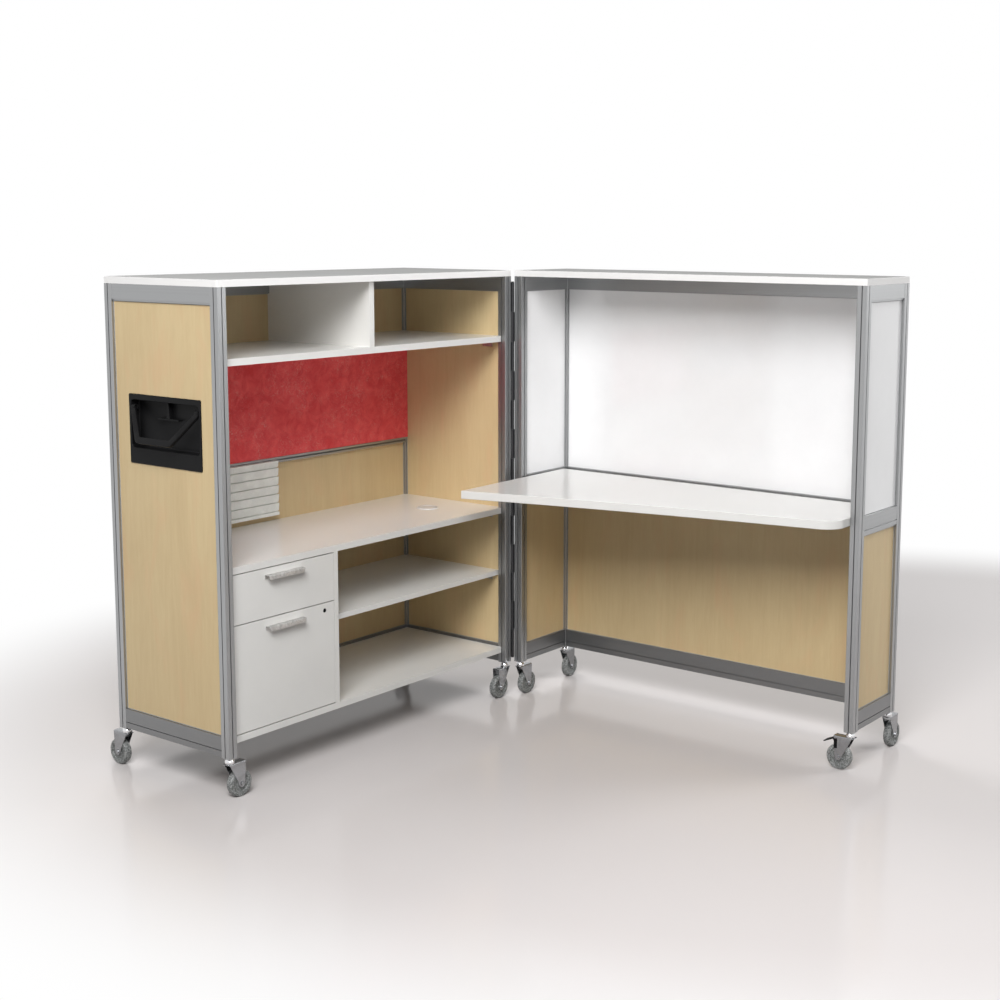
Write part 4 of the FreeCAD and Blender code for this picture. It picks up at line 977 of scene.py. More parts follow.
@dataclass
class Frames(Assembly):
    """Extruded posts and rails, with gaskets round the panels."""

    gasket_width: float = 0.0016
    gasket_proud: float = 0.0012

    def build(self) -> None:
        """Finish the metal and lay the gaskets."""
        coat(METAL[Grain.UPRIGHT], "storage_posts", "desk_posts")
        coat(RAIL_METAL, "storage_rails", "desk_rails")
        for node, body in (
                ("storage_outer_panel", "storage_half"), ("storage_hinge_panel", "storage_half"),
                ("storage_back_panel", "storage_half"), ("whiteboard", "desk_half"),
                ("desk_back_panel", "desk_half")):
            self._gaskets(node, body, *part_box(node))
        for level in ("upper", "lower"):
            node = f"desk_{level}_end_panels"
            low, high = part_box(node)
            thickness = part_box("whiteboard")[1].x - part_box("whiteboard")[0].x
            self._gaskets(node, "desk_half", low, Vector((high.x, low.y + thickness, high.z)))
            self._gaskets(node + "_hinge_side", "desk_half",
                          Vector((low.x, high.y - thickness, low.z)), high)

    def _gaskets(self, name: str, body: str, low: Vector, high: Vector) -> None:
        """Lay thin strips round both faces of a panel.

        Args:
            name: start of the piece's name.
            body: body that carries the panel.
            low: the panel's lower corner.
            high: the panel's upper corner.
        """
        size = high - low
        thin = min(range(2), key=lambda axis: size[axis])
        wide = 1 - thin
        work = Workpiece(f"{name}_gaskets")
        width, proud = self.gasket_width, self.gasket_proud
        spans = (
            ((low[wide], low[wide] + width), (low.z, high.z)),
            ((high[wide] - width, high[wide]), (low.z, high.z)),
            ((low[wide] + width, high[wide] - width), (low.z, low.z + width)),
            ((low[wide] + width, high[wide] - width), (high.z - width, high.z)))
        for face, out in ((low[thin], -1), (high[thin], 1)):
            for (start, end), (foot, head) in spans:
                loops = []
                for depth in (face, face + out * proud):
                    loop = []
                    for along, level in ((start, foot), (end, foot), (end, head), (start, head)):
                        point = Vector((0.0, 0.0, level))
                        point[thin], point[wide] = depth, along
                        loop.append(point)
                    loops.append(loop)
                work.rings(loops)
        work.finish(body, "hinge_steel", GASKET)


@dataclass
class Boards(Assembly):
    """Panels, shelves and top boards."""

    def build(self) -> None:
        """Finish the boards' CAD nodes."""
        coat(MAPLE, "storage_outer_panel", "storage_hinge_panel",
             "storage_back_panel", "desk_back_panel", "desk_lower_end_panels")
        coat(WHITE, "upper_shelf", "shelf_divider", "credenza_top", "mid_shelf", "bottom_shelf",
             "pedestal_case", "box_drawer_front", "file_drawer_front", "box_drawer_tray",
             "file_drawer_tray")
        coat(TOP_BOARD, "storage_top", "desk_top")
        coat(MARKER_BOARD, "whiteboard", "desk_upper_end_panels")
        coat(METAL[Grain.ALONG_X], "accessory_rail")
        coat(PALE_PLASTIC, "slat_panel")
        coat(BRIGHT_ZINC, "shelf_supports", "worksurface_brackets", "drawer_runners",
             "box_drawer_slides", "file_drawer_slides")


@dataclass
class Tackboard(Assembly):
    """Board wrapped in felt, with rounded edges on its face."""

    wrap_radius: float = 0.0022
    lap: float = 0.009

    def build(self) -> None:
        """Build the board in place of its CAD node."""
        low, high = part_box("tackboard")
        face = low.y + 0.005
        work = Workpiece("tackboard_felt")
        outline = [(low.x, low.y), (high.x, low.y), (high.x, face), (high.x - self.lap, face),
                   (high.x - self.lap, high.y), (low.x + self.lap, high.y),
                   (low.x + self.lap, face), (low.x, face)]
        upright = Matrix.Identity(4)
        work.prism(rounded(outline, [self.wrap_radius] * 2 + [0.0] * 6, 5), low.z, high.z, upright)
        work.soften(0.0012).finish("storage_half", "red_fabric", RED_FELT, "tackboard")


@dataclass
class Worksurface(Assembly):
    """Worksurface whose front sweeps back, with a large rounded outer corner."""

    front_inset: float = 0.050
    back_inset: float = 0.033
    outer_reach: float = 0.084
    front_radius: float = 11.8
    corner_radius: float = 0.058
    edge: float = 0.0018
    front_steps: int = 24
    corner_steps: int = 14

    def build(self) -> None:
        """Build the surface in place of its CAD node."""
        low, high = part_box("worksurface")
        desk_low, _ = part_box("desk_top")
        start = Vector((low.x, high.y - (self.front_inset - self.back_inset)))
        end = Vector((desk_low.x - self.outer_reach, low.y))
        chord = end - start
        square = Vector((chord.y, -chord.x)).normalized()
        middle = (start + end) / 2
        centre = middle + square * math.sqrt(self.front_radius ** 2 - (chord.length / 2) ** 2)
        first, last = start - centre, end - centre
        sweep = first.angle_signed(last)
        front = []
        for step in range(self.front_steps + 1):
            spot = centre + Matrix.Rotation(-sweep * step / self.front_steps, 2) @ first
            front.append((spot.x, spot.y))
        outline = [(high.x, high.y)] + front + [(high.x, low.y)]
        work = Workpiece("worksurface_board")
        work.prism(self._bend(outline, len(front)), low.z, high.z, Matrix.Identity(4))
        work.soften(self.edge).finish("desk_half", "white_laminate", WHITE, "worksurface")

    def _bend(self, outline: list[Point2], corner: int) -> list[Point2]:
        """Give one corner a large radius, which swallows the short steps by it.

        Args:
            outline: corners of the worksurface.
            corner: index of the corner.

        Returns:
            The outline with the corner rounded.
        """
        kept = [point for index, point in enumerate(outline)
                if not corner - 3 < index < corner]
        place = kept.index(outline[corner])
        radii = [0.0] * len(kept)
        radii[place] = self.corner_radius
        return rounded(kept, radii, self.corner_steps)


@dataclass
class Grommet(Assembly):
    """Cable grommet with a lid, a seam and a finger notch."""

    rim_height: float = 0.0025
    lid_drop: float = 0.0008
    seam: float = 0.0005
    notch_radius: float = 0.009
    ring: float = 0.006
    sleeve_wall: float = 0.002
    steps: int = 72

    def build(self) -> None:
        """Build rim and lid in place of the CAD node."""
        low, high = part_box("cable_grommet")
        radius = (high.x - low.x) / 2
        middle = centre_of("cable_grommet")
        place = Matrix.Translation((middle.x, middle.y, 0.0))
        face = high.z
        seat = face - self.rim_height
        inner = radius - self.ring
        sleeve = inner + self.sleeve_wall
        rim = Workpiece("grommet_rim")
        rim.lathe(rounded([(inner, low.z), (sleeve, low.z), (sleeve, seat), (radius, seat),
                           (radius - 0.0008, face), (inner, face)],
                          [0.0, 0.0, 0.0, 0.0, 0.0007, 0.0007], 3), place, self.steps)
        rim.finish("storage_half", "grey_plastic", GREY_PLASTIC, "cable_grommet")
        lid_edge = inner - self.seam
        lid = Workpiece("grommet_lid")
        disc = [(lid_edge * math.cos(math.tau * step / self.steps),
                 lid_edge * math.sin(math.tau * step / self.steps))
                for step in range(self.steps)]
        scooped = [(x, y) if math.hypot(x, y + lid_edge) > self.notch_radius
                   else self._scoop(x, y, lid_edge) for x, y in disc]
        lid.prism(scooped, seat - 0.001, face - self.lid_drop, place)
        lid.soften(0.0004).finish("storage_half", "grey_plastic", GREY_PLASTIC)

    def _scoop(self, x: float, y: float, edge: float) -> Point2:
        """Point of the lid's rim moved in to the finger notch.

        Args:
            x: the point's place across the notch.
            y: the point's place along it.
            edge: radius of the lid.

        Returns:
            The moved point.
        """
        away = Vector((x, y + edge + TINY))
        depth = math.sqrt(max(self.notch_radius ** 2 - x ** 2, 0.0)) * 0.6
        return x, (away.y - edge) + depth


@dataclass
class Pulls(Assembly):
    """Bent tab pulls of the drawers and the lock's collar."""

    sheet: float = 0.002
    bend: float = 0.003
    trim: float = 0.005
    lip: float = 0.013
    web: float = 0.012
    collar_radius: float = 0.0068
    collar_proud: float = 0.0008

    def build(self) -> None:
        """Build a pull for each drawer, and the collar."""
        for drawer in ("box", "file"):
            self._pull(drawer)
        self._collar()
        coat(BLACK_PLASTIC, "lock_cylinder")

    def _pull(self, drawer: str) -> None:
        """Build one drawer's pull.

        Args:
            drawer: which drawer it is, box or file.
        """
        low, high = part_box(f"{drawer}_drawer_pull")
        depth = self.sheet
        path = rounded([(high.y, high.z - self.web), (high.y, high.z), (low.y, high.z),
                        (low.y, high.z - self.lip)], self.bend, 6, closed=False)
        inner = rounded([(high.y - depth, high.z - self.web), (high.y - depth, high.z - depth),
                         (low.y + depth, high.z - depth), (low.y + depth, high.z - self.lip)],
                        self.bend - depth, 6, closed=False)
        section = path + inner[::-1]
        half = (high.x - low.x) / 2
        middle = (high.x + low.x) / 2

        def reach(y: float, z: float) -> float:
            """Half width of the pull at a point of its section."""
            cut = max(0.0, (high.z - self.lip + self.trim) - z)
            return half - cut if y < low.y + 2 * depth else half

        work = Workpiece(f"{drawer}_drawer_pull_bent")
        work.rings([[Vector((middle + side * reach(y, z), y, z)) for y, z in section]
                    for side in (-1, 1)])
        work.soften(0.0004).finish(f"{drawer}_drawer", "satin_pull", SATIN_STEEL,
                                   f"{drawer}_drawer_pull")

    def _collar(self) -> None:
        """Build the ring round the lock."""
        low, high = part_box("lock_cylinder")
        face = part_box("file_drawer_front")[0].y
        hole = (high.x - low.x) / 2 + 0.0002
        middle = (high.x + low.x) / 2
        height = joint_named("lock_turn")["pos_m"][2]
        place = facing(Vector((middle, face, height)), Vector((1, 0, 0)), Vector((0, 0, 1)))
        work = Workpiece("lock_collar")
        work.lathe(rounded([(hole, 0.0), (self.collar_radius, 0.0),
                            (self.collar_radius, self.collar_proud), (hole, self.collar_proud)],
                           [0.0, 0.0, 0.0005, 0.0], 4), place, 48)
        work.finish("file_drawer", "satin_pull", SATIN_STEEL)


@dataclass
class CarryingHandle(Assembly):
    """Black moulded tray with a recess and rib, and the bail that swings in it."""

    flange: float = 0.003
    corner: float = 0.004
    recess_width: float = 0.280
    recess_low: float = 0.935
    recess_high: float = 1.068
    recess_depth: float = 0.027
    recess_corner: float = 0.010
    wall: float = 0.003
    lip: float = 0.0015
    draft: float = 0.0018
    swing: float = 27.0
    strap: float = 0.018
    thickness: float = 0.010
    eye_radius: float = 0.008
    eye_length: float = 0.013
    pin_radius: float = 0.004
    half_span: float = 0.1375
    grip_half: float = 0.066
    drop: float = 0.094
    rib_foot: float = 1.018
    rib_bar: tuple[float, float] = (0.084, 0.004)
    rib_depth: float = 0.014
    rib_half_top: float = 0.0022
    rib_half_foot: float = 0.0065
    groove: tuple[float, float] = (0.118, 0.0016)
    stud_pitch: float = 0.0044
    stud_rows: int = 3
    stud_columns: int = 15

    def build(self) -> None:
        """Build tray and bail in place of their CAD nodes."""
        low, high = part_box("handle_tray")
        middle = (low.y + high.y) / 2
        # own x runs along -Y, own y is up and own z points out of the end
        self.place = facing(Vector((low.x, middle, 0.0)), Vector((0, -1, 0)), Vector((0, 0, 1)))
        self._tray(low, high)
        self._bail()

    def _loop(self, width: float, foot: float, head: float, bend: float,
              depth: float) -> list[Vector]:
        """Rounded rectangle at a depth below the flange's face.

        Args:
            width: size along the panel.
            foot: height of the lower edge.
            head: height of the upper edge.
            bend: radius of the corners.
            depth: depth below the face.

        Returns:
            The loop's points.
        """
        corners = rectangle(width, head - foot, 0.0, (head + foot) / 2)
        return [self.place @ Vector((x, y, -depth)) for x, y in rounded(corners, bend, 8)]

    def _tray(self, low: Vector, high: Vector) -> None:
        """Build flange, recess, rib and pivot bosses.

        Args:
            low: the tray's lower corner.
            high: the tray's upper corner.
        """
        width, foot, head = high.y - low.y, low.z, high.z
        mouth, base, top = self.recess_width, self.recess_low, self.recess_high
        shrink = self.draft * 2
        loops = [
            self._loop(mouth + 2 * self.wall, base - self.wall, top + self.wall,
                       self.recess_corner, self.recess_depth + self.wall),
            self._loop(mouth + 2 * self.wall, base - self.wall, top + self.wall,
                       self.recess_corner, self.flange),
            self._loop(width, foot, head, self.corner, self.flange),
            self._loop(width, foot, head, self.corner, self.lip / 2),
            self._loop(width - self.lip, foot + self.lip / 2, head - self.lip / 2, self.corner,
                       0.0),
            self._loop(mouth + self.lip * 2, base - self.lip, top + self.lip,
                       self.recess_corner + self.lip, 0.0),
            self._loop(mouth, base, top, self.recess_corner, self.lip),
            self._loop(mouth - shrink, base + self.draft, top - self.draft, self.recess_corner,
                       self.recess_depth - 0.003),
            self._loop(mouth - shrink - 0.006, base + self.draft + 0.003, top - self.draft - 0.003,
                       self.recess_corner - 0.003, self.recess_depth)]
        work = Workpiece("handle_tray_moulding")
        work.rings(loops)
        floor, crown = -self.recess_depth - 0.0005, self.rib_depth - self.recess_depth
        bar_width, bar_height = self.rib_bar
        bar_head = self.rib_foot + bar_height
        wedge = [(-self.rib_half_top, top - self.draft), (-self.rib_half_foot, bar_head),
                 (self.rib_half_foot, bar_head), (self.rib_half_top, top - self.draft)]
        work.prism(wedge, floor, crown, self.place)
        work.prism(rectangle(bar_width, bar_height, 0.0, self.rib_foot + bar_height / 2), floor,
                   crown, self.place)
        pivot = Vector(joint_named("handle_swing")["pos_m"])
        for side in (-1, 1):
            wall = Matrix.Translation(pivot + Vector((0, side * mouth / 2, 0)))
            work.lathe([(0.0, 0.0), (self.pin_radius, 0.0), (self.pin_radius, self.eye_length),
                        (0.0, self.eye_length)],
                       wall @ Matrix.Rotation(side * math.pi / 2, 4, "X"), 32)
        work.soften(0.0006).finish("storage_half", "black_plastic", BLACK_PLASTIC, "handle_tray")
        self._apron_grooves(base)

    def _apron_grooves(self, base: float) -> None:
        """Fine dark beads on the apron under the recess.

        Args:
            base: height of the recess's lower edge.
        """
        length, width = self.groove
        work = Workpiece("handle_tray_beads")
        for across, share in ((0.068, 1.0), (-0.118, 0.3)):
            work.prism(rounded(rectangle(length * share, width, across, base - 0.008),
                               width * 0.45, 3), -0.0002, 0.0004, self.place)
        work.finish("storage_half", "black_plastic", BLACK_PLASTIC)

    def _bail(self) -> None:
        """Strap bent to a trapezoid with eyes on the pivots."""
        pivot = Vector(joint_named("handle_swing")["pos_m"])
        swung = facing(pivot, Vector((0, -1, 0)), Vector((0, 0, 1)))
        swung = Matrix.Translation(pivot) @ Matrix.Rotation(
            math.radians(self.swing), 4, "Y") @ Matrix.Translation(-pivot) @ swung
        hip = self.half_span - self.eye_length / 2
        line = rounded([(-hip, 0.0), (-hip, -0.006), (-self.grip_half, -self.drop),
                        (self.grip_half, -self.drop), (hip, -0.006), (hip, 0.0)],
                       [0.0, 0.01, 0.014, 0.014, 0.01, 0.0], 7, closed=False)
        loops = []
        for index, point in enumerate(line):
            before = Vector(line[max(index - 1, 0)])
            after = Vector(line[min(index + 1, len(line) - 1)])
            way = (after - before).normalized()
            side = Vector((way.y, -way.x))
            fit = min(1.0, 0.72 + 0.28 * min(-point[1] / 0.02, 1.0))
            section = rounded(rectangle(self.strap * fit, self.thickness), 0.0016, 4)
            loops.append([swung @ Vector((point[0] + side.x * across, point[1] + side.y * across,
                                          out)) for across, out in section])
        work = Workpiece("handle_bail_strap")
        work.rings(loops)
        for side in (-1, 1):
            eye = swung @ Matrix.Translation((side * self.half_span, 0.0, 0.0)) @ Matrix.Rotation(
                -side * math.pi / 2, 4, "Y")
            bore = self.pin_radius + 0.0002
            work.lathe(rounded([(bore, 0.0), (self.eye_radius, 0.0),
                                (self.eye_radius, self.eye_length), (bore, self.eye_length)],
                               0.0008, 3), eye, 40)
        work.finish("carrying_handle", "black_plastic", BLACK_PLASTIC, "handle_bail")
        self._grip(swung)

    def _grip(self, swung: Matrix) -> None:
        """Small studs in rows on the outer faces of the strap's two arms.

        Args:
            swung: the bail's own place, with x along its grip and z out of its plane.
        """
        hip = Vector((self.half_span - self.eye_length / 2, -0.006, 0.0))
        knee = Vector((self.grip_half, -self.drop, 0.0))
        way = (knee - hip).normalized()
        stud = Stud(0.0014, 0.0009, 0.0008, 4, BLACK_PLASTIC)
        half_rows = (self.stud_rows - 0.5) / 2
        for name, mirror in (("left", -1), ("right", 1)):
            along = Vector((mirror * way.x, way.y, 0.0))
            square = Vector((-along.y, along.x, 0.0))
            first = Vector((mirror * hip.x, hip.y, self.thickness / 2 - 0.0002)) + along * 0.018
            stud.lay(f"handle_bail_studs_{name}", "carrying_handle", "black_plastic", swung,
                     first - square * half_rows * self.stud_pitch, along * self.stud_pitch,
                     self.stud_columns, self.stud_rows, square * self.stud_pitch,
                     square * self.stud_pitch / 2)


@dataclass
class Hinge(Assembly):
    """Upright hinge with rows of screws on both leaves; a black hexagon on each screw head is
    painted shade for the socket's hollow.
    """

    screws: int = 26
    pitch: float = 0.0475
    plate_start: float = 0.0058
    plate_reach: float = 0.028
    sheet: float = 0.0015
    head: Stud = Stud(0.0034, 0.0024, 0.0007, 24, BRIGHT_ZINC)
    # Painted shade: the socket is a black hexagon laid on the screw head, standing in for the
    # shade inside the socket's hollow.
    socket: Stud = Stud(0.0013, 0.0013, 0.00072, 6, BLACK_PLASTIC)

    def build(self) -> None:
        """Finish the leaves and lay the screws."""
        coat(DARK_STEEL, "hinge_leaf_storage", "hinge_leaf_desk", "hinge_pin")
        axis = centre_of("hinge_pin")
        across = (self.plate_start + self.plate_reach) / 2
        upright = Vector((0, 0, 1))
        for half, along, out, face in (
                ("storage", Vector((0, 1, 0)), Vector((1, 0, 0)),
                 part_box("hinge_leaf_storage")[0].x),
                ("desk", Vector((1, 0, 0)), Vector((0, 1, 0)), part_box("hinge_leaf_desk")[0].y)):
            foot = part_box(f"hinge_leaf_{half}")[0].z + self.pitch / 2
            start = axis + along * across
            start.z = foot
            start += out * (face + self.sheet - start.dot(out))
            place = Matrix((upright.cross(out), upright, out)).transposed().to_4x4()
            place.translation = start
            for part, stud in (("screws", self.head), ("sockets", self.socket)):
                stud.lay(f"hinge_{part}_{half}", f"{half}_half", "zinc_steel", place,
                         (0.0, 0.0, -0.0001), (0.0, self.pitch, 0.0), self.screws)


@dataclass
class Caster(Assembly):
    """One caster: stem and dome, bent fork, axle bolt and wheel."""

    place: str
    wheel_radius: float = 0.0375
    half_width: float = 0.0105
    hub_half_width: float = 0.0112
    trail: float = 0.032
    sheet: float = 0.0016
    half_gap: float = 0.0113
    plate_top: float = 0.100
    plate_front: float = 0.016
    plate_back: float = 0.046
    leg_front: float = 0.010
    foot_radius: float = 0.010
    bend: float = 0.0030
    axle_radius: float = 0.004
    head_radius: float = 0.0065
    head_height: float = 0.003
    tread_depth: float = 0.0096
    wheel_steps: int = 72

    def build(self) -> None:
        """Build the caster in place of its CAD nodes."""
        roll = joint_named(f"roll_{self.place}")
        swivel = Vector(joint_named(f"swivel_{self.place}")["pos_m"])
        spin = Vector(roll["axis"])
        turn = math.atan2(-spin.x, spin.y)
        self.local = Matrix.Translation((swivel.x, swivel.y, 0.0)) @ Matrix.Rotation(turn, 4, "Z")
        axle = self.local @ Matrix.Translation((self.trail, 0.0, self.wheel_radius))
        self.axle = axle @ Matrix.Rotation(-math.pi / 2, 4, "X")
        self._fork()
        self._wheel()

    def _side(self, z: float) -> tuple[float, float]:
        """Front and back limits of the fork's side.

        Args:
            z: height over the floor.

        Returns:
            Place of the front edge and of the back edge.
        """
        run = self.trail + self.leg_front
        fall = self.plate_top - self.sheet - self.wheel_radius
        slope = math.atan(fall / run) + math.asin(self.foot_radius / math.hypot(run, fall))
        tangent = Vector((self.trail - self.foot_radius * math.sin(slope),
                          self.wheel_radius - self.foot_radius * math.cos(slope)))
        top = self.plate_top - self.sheet
        if z > self.wheel_radius:
            share = (z - self.wheel_radius) / fall
            back = self.trail + self.foot_radius + share * (
                self.plate_back - self.trail - self.foot_radius)
        else:
            back = self.trail + self._chord(z)
        if z > tangent.y:
            share = (z - tangent.y) / (top - tangent.y)
            front = tangent.x + share * (-self.leg_front - tangent.x)
        else:
            front = self.trail - self._chord(z)
        return front, min(back, self.plate_back)

    def _chord(self, z: float) -> float:
        """Half width of the fork's round foot at a height."""
        return math.sqrt(max(self.foot_radius ** 2 - (z - self.wheel_radius) ** 2, 0.0))

    def _fork(self) -> None:
        """Fork as bent sheet with rounded bends, and the axle bolt."""
        outer = self.half_gap + self.sheet
        foot = self.wheel_radius - self.foot_radius + TINY * 10
        levels = [foot + self.foot_radius * (1 - math.cos(math.pi / 2 * step / 8))
                  for step in range(8)]
        rise = [self.wheel_radius + (self.plate_top - self.bend - self.wheel_radius) * step / 4
                for step in range(5)]
        bends = [(outer - self.bend * (1 - math.cos(math.pi / 2 * step / 5)),
                  self.plate_top - self.bend + self.bend * math.sin(math.pi / 2 * step / 5))
                 for step in range(1, 6)]
        half = [(outer, z) for z in levels + rise] + bends
        path = half + [(-y, z) for y, z in reversed(half)]
        columns = 8
        work = Workpiece(f"caster_fork_{self.place}")
        grid_out, grid_in = [], []
        for y, z in path:
            front, back = self._side(min(z, self.plate_top - self.sheet - TINY))
            lift = max(0.0, (z - (self.plate_top - self.bend)) / self.bend)
            front = front + (-self.plate_front - front) * lift
            shares = [column / columns for column in range(columns + 1)]
            near = self._inset(y, z, outer)
            grid_out.append([self.local @ Vector((front + (back - front) * share, y, z))
                             for share in shares])
            grid_in.append([self.local @ Vector((front + (back - front) * share, *near))
                            for share in shares])
        loops = [out + inner[::-1] for out, inner in zip(grid_out, grid_in)]
        work.rings(loops)
        for side in (-1, 1):
            head = self.axle @ Matrix.Translation((0.0, 0.0, side * outer))
            if side < 0:
                head = head @ Matrix.Rotation(math.pi, 4, "X")
            self._bolt_head(work, head)
        work.lathe([(0.0, -outer), (self.axle_radius, -outer), (self.axle_radius, outer),
                    (0.0, outer)], self.axle, 24)
        work.soften(0.00035).finish(f"fork_{self.place}", "bright_chrome", ZINC_FORK,
                                    f"fork_{self.place}")

    def _inset(self, y: float, z: float, outer: float) -> Point2:
        """Inner skin's point behind a point of the fork's outer skin.

        Args:
            y: the point's place across the fork.
            z: the point's height.
            outer: half width over the fork's cheeks.

        Returns:
            Place across and height of the inner point.
        """
        bend_level = self.plate_top - self.bend
        if z <= bend_level:
            return y - math.copysign(self.sheet, y), z
        centre = Vector((math.copysign(outer - self.bend, y), bend_level))
        away = Vector((y, z)) - centre
        inner = centre + away.normalized() * (self.bend - self.sheet)
        return inner.x, inner.y

    def _bolt_head(self, work: Workpiece, place: Matrix) -> None:
        """Add washer and hexagonal head on one side of the fork.

        Args:
            work: workpiece that gets them.
            place: seat of the washer, with z pointing out.
        """
        work.lathe([(self.axle_radius - 0.001, 0.0), (self.head_radius - 0.0004, 0.0),
                    (self.head_radius - 0.0004, 0.0006), (self.axle_radius - 0.001, 0.0006)],
                   place, 32)
        flats = [(self.head_radius * 0.93 * math.cos(math.tau * side / 6),
                  self.head_radius * 0.93 * math.sin(math.tau * side / 6)) for side in range(6)]
        crown = [(x * 0.86, y * 0.86) for x, y in flats]
        top = self.head_height
        work.rings([[place @ Vector((x, y, 0.0006)) for x, y in flats],
                    [place @ Vector((x, y, top - 0.0006)) for x, y in flats],
                    [place @ Vector((x, y, top)) for x, y in crown]])

    def _wheel(self) -> None:
        """Crowned tyre, and hub with a thinner web and bearing caps."""
        width, radius = self.half_width, self.wheel_radius
        bed = radius - self.tread_depth
        tyre = Workpiece(f"caster_tyre_{self.place}")
        crown = [(bed, -width), (radius - 0.0032, -width), (radius - 0.0008, -0.009),
                 (radius, -0.005), (radius, 0.005), (radius - 0.0008, 0.009),
                 (radius - 0.0032, width), (bed, width)]
        tyre.lathe(rounded(crown, [0.0, 0.002, 0.003, 0.01, 0.01, 0.003, 0.002, 0.0], 4),
                   self.axle, self.wheel_steps)
        tyre.finish(f"wheel_{self.place}", "grey_tyre", TYRE, f"wheel_{self.place}")
        hub = Workpiece(f"caster_hub_{self.place}")
        bore, cap, web = self.axle_radius + 0.00005, 0.010, 0.007
        rim = bed - 0.0022
        section = [(bore, -self.hub_half_width), (cap, -self.hub_half_width), (cap + 0.0012, -web),
                   (rim - 0.001, -web), (rim, -width + 0.0004), (bed, -width + 0.0004)]
        section += [(distance, -height) for distance, height in reversed(section)]
        bends = [0.0, 0.0008, 0.0015, 0.0012, 0.0006, 0.0]
        hub.lathe(rounded(section, bends + bends[::-1], 4), self.axle,
                  self.wheel_steps)
        hub.finish(f"wheel_{self.place}", "grey_tyre", HUB)


@dataclass
class CasterStems(Assembly):
    """Chrome domes and stems that fix the casters in the posts, for one half."""

    half: str
    places: tuple[str, ...]
    dome_radius: float = 0.0135
    dome_low: float = 0.1003
    dome_high: float = 0.115
    neck: float = 0.009
    stem: float = 0.00545
    stem_head: float = 0.155
    rivet_low: float = 0.0955
    rivet_high: float = 0.0981
    pin: float = 0.006

    def build(self) -> None:
        """Build the half's stems in place of their CAD node."""
        work = Workpiece(f"{self.half}_caster_domes")
        profile = [(0.0, self.rivet_low), (self.neck, self.rivet_low),
                   (self.neck, self.rivet_high), (self.pin, self.rivet_high),
                   (self.pin, self.dome_low), (self.dome_radius, self.dome_low),
                   (self.dome_radius, self.dome_low + 0.006), (self.neck, self.dome_high),
                   (self.stem, self.dome_high), (self.stem, self.stem_head),
                   (0.0, self.stem_head)]
        bends = [0.0, 0.0012, 0.0, 0.0, 0.0, 0.0008, 0.006, 0.0, 0.0, 0.001, 0.0]
        for place in self.places:
            spot = joint_named(f"swivel_{place}")["pos_m"]
            work.lathe(rounded(profile, bends, 6), Matrix.Translation((spot[0], spot[1], 0.0)),
                       48)
        work.finish(f"{self.half}_half", "bright_chrome", CHROME,
                    f"{self.half}_caster_stems")


@dataclass
class BrakePedal(Assembly):
    """Brake pedal with ridges across its foot plate."""

    place: str = "desk_front_outer"
    ridges: int = 6
    pitch: float = 0.0042
    first: float = 0.004
    plate_start: float = 0.048
    plate_length: float = 0.030
    plate_fall: float = 0.014
    plate_height: float = 0.092
    ridge: Stud = Stud(math.sqrt(0.5), 0.45, 0.0007, 4, BLACK_PLASTIC, 45.0,
                       (0.0018, 0.023, 1.0))

    def build(self) -> None:
        """Finish the pedal and add the ridges."""
        coat(BLACK_PLASTIC, "brake_pedal")
        spin = Vector(joint_named(f"roll_{self.place}")["axis"])
        swivel = joint_named(f"swivel_{self.place}")["pos_m"]
        local = Matrix.Translation((swivel[0], swivel[1], 0.0)) @ Matrix.Rotation(
            math.atan2(-spin.x, spin.y), 4, "Z")
        slope = math.atan(self.plate_fall / self.plate_length)
        plate = local @ Matrix.Translation((self.plate_start, 0.0, self.plate_height))
        plate = plate @ Matrix.Rotation(slope, 4, "Y")
        self.ridge.lay("brake_pedal_ridges", "brake_pedal", "black_plastic", plate,
                       (self.first, 0.0, -0.0001), (self.pitch, 0.0, 0.0), self.ridges)


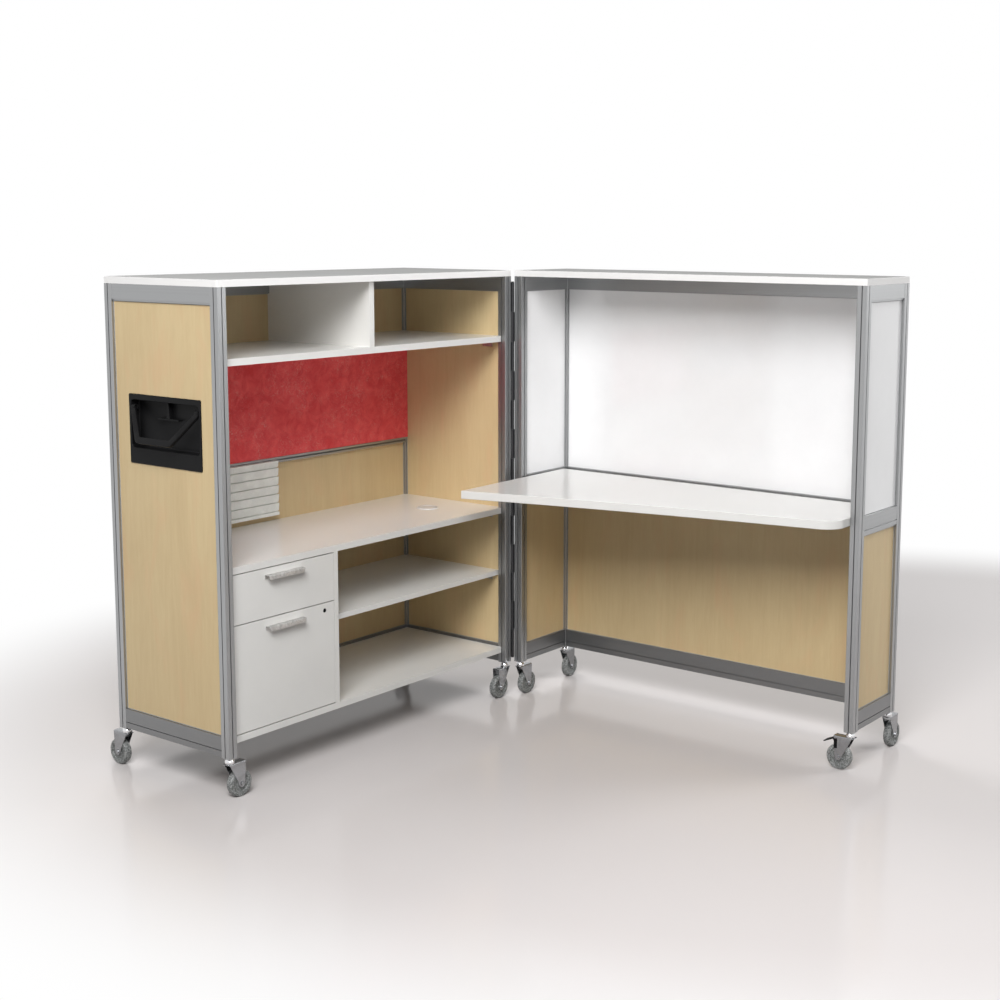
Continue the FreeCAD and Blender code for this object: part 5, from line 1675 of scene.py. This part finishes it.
@dataclass
class Studio:
    """Floor, light and the photograph's camera."""

    floor_half: float = 60.0
    camera_from_hinge: tuple[float, float] = (-3.93006, -3.09527)
    camera_height: float = 1.54148
    heading: float = -52.72
    fall: float = 8.04
    roll: float = 0.16
    lens: float = 55.92
    shift: tuple[float, float] = (-0.0379, -0.054)
    horizon_light: float = 0.08
    ceiling_light: float = 0.2

    def build(self) -> None:
        """Set up floor, lights, sky and camera."""
        bpy.context.scene.view_settings.view_transform = "Standard"
        self._floor()
        self._sky()
        self._lights()
        self._camera()

    def _floor(self) -> None:
        """Wide pale floor."""
        data = bpy.data.meshes.new("studio_floor")
        reach = self.floor_half
        data.from_pydata([(-reach, -reach, 0.0), (reach, -reach, 0.0), (reach, reach, 0.0),
                          (-reach, reach, 0.0)], [], [(0, 1, 2, 3)])
        floor = bpy.data.objects.new("studio_floor", data)
        data.materials.append(material_of(FLOOR))
        bpy.context.scene.collection.objects.link(floor)

    def _sky(self) -> None:
        """White for the camera, softer light for the object."""
        world = bpy.data.worlds.new("studio_sky")
        bpy.context.scene.world = world
        world.use_nodes = True
        tree = world.node_tree
        graph = Graph(tree)
        white = (1.0, 1.0, 1.0, 1.0)
        direction = graph.node("ShaderNodeTexCoord", out="Generated")
        height = graph.node("ShaderNodeSeparateXYZ", {}, {"Vector": direction}, out="Z")
        level = graph.spread(height, 0.0, 0.8, self.horizon_light, self.ceiling_light)
        soft = graph.node("ShaderNodeBackground", {}, {"Color": white, "Strength": level})
        plain = graph.node("ShaderNodeBackground", {}, {"Color": white, "Strength": 1.0})
        seen = graph.rays("Is Camera Ray", "Is Glossy Ray", "Is Transmission Ray")
        sky = graph.node("ShaderNodeMixShader", {}, {0: seen, 1: soft, 2: plain})
        graph.feed(tree.nodes["World Output"].inputs["Surface"], sky)

    def _lights(self) -> None:
        """Large soft lights high at the left, in front, at the right and behind."""
        self._area("key_light", (-3.4, -1.9, 3.9), (0.0, -0.1, 0.8), 2.4, 255.0)
        self._area("front_light", (-1.5, -5.0, 3.6), (0.2, 0.0, 0.8), 2.8, 9.0)
        self._area("right_light", (3.6, -3.2, 2.6), (0.6, -0.6, 0.8), 2.0, 75.0)
        self._area("back_light", (1.6, 3.6, 5.4), (0.2, 0.4, 0.8), 2.4, 120.0)

    def _area(self, name: str, place: tuple[float, float, float],
              target: tuple[float, float, float], size: float, power: float) -> None:
        """Add a square area light turned to a target.

        Args:
            name: name of the lamp.
            place: where it is.
            target: point that it shines at.
            size: length of its sides.
            power: power in watts.
        """
        data = bpy.data.lights.new(name, "AREA")
        data.size = size
        data.energy = power
        lamp = bpy.data.objects.new(name, data)
        lamp.location = place
        lamp.rotation_euler = (Vector(target) - Vector(place)).to_track_quat("-Z", "Y").to_euler()
        bpy.context.scene.collection.objects.link(lamp)

    def _camera(self) -> None:
        """Camera at the photograph's viewpoint."""
        data = bpy.data.cameras.new("camera")
        data.lens = self.lens
        data.shift_x, data.shift_y = self.shift
        data.clip_start, data.clip_end = 0.1, 200.0
        camera = bpy.data.objects.new("camera", data)
        axis = centre_of("hinge_pin")
        across, along = self.camera_from_hinge
        camera.location = (axis.x + across, axis.y + along, self.camera_height)
        turn = (Matrix.Rotation(math.radians(self.heading), 4, "Z")
                @ Matrix.Rotation(math.radians(90.0 - self.fall), 4, "X")
                @ Matrix.Rotation(math.radians(self.roll), 4, "Z"))
        camera.rotation_euler = turn.to_euler()
        bpy.context.scene.collection.objects.link(camera)
        bpy.context.scene.camera = camera


STORAGE_CASTERS = ("storage_front_outer", "storage_front_hinge", "storage_back_outer",
                   "storage_back_hinge")
DESK_CASTERS = ("desk_front_hinge", "desk_front_outer", "desk_back_outer", "desk_back_hinge")


def main() -> None:
    """Build every sub-assembly, then the studio."""
    logging.basicConfig(level=logging.INFO, format="%(name)s: %(message)s")
    assemblies: list[Assembly] = [
        Frames(), Boards(), Tackboard(), Worksurface(), Grommet(), Pulls(), CarryingHandle(),
        Hinge(), BrakePedal(), CasterStems("storage", STORAGE_CASTERS),
        CasterStems("desk", DESK_CASTERS)]
    assemblies += [Caster(place) for place in STORAGE_CASTERS + DESK_CASTERS]
    for assembly in assemblies:
        assembly.build()
    Studio().build()


if __name__ == "__main__":
    main()
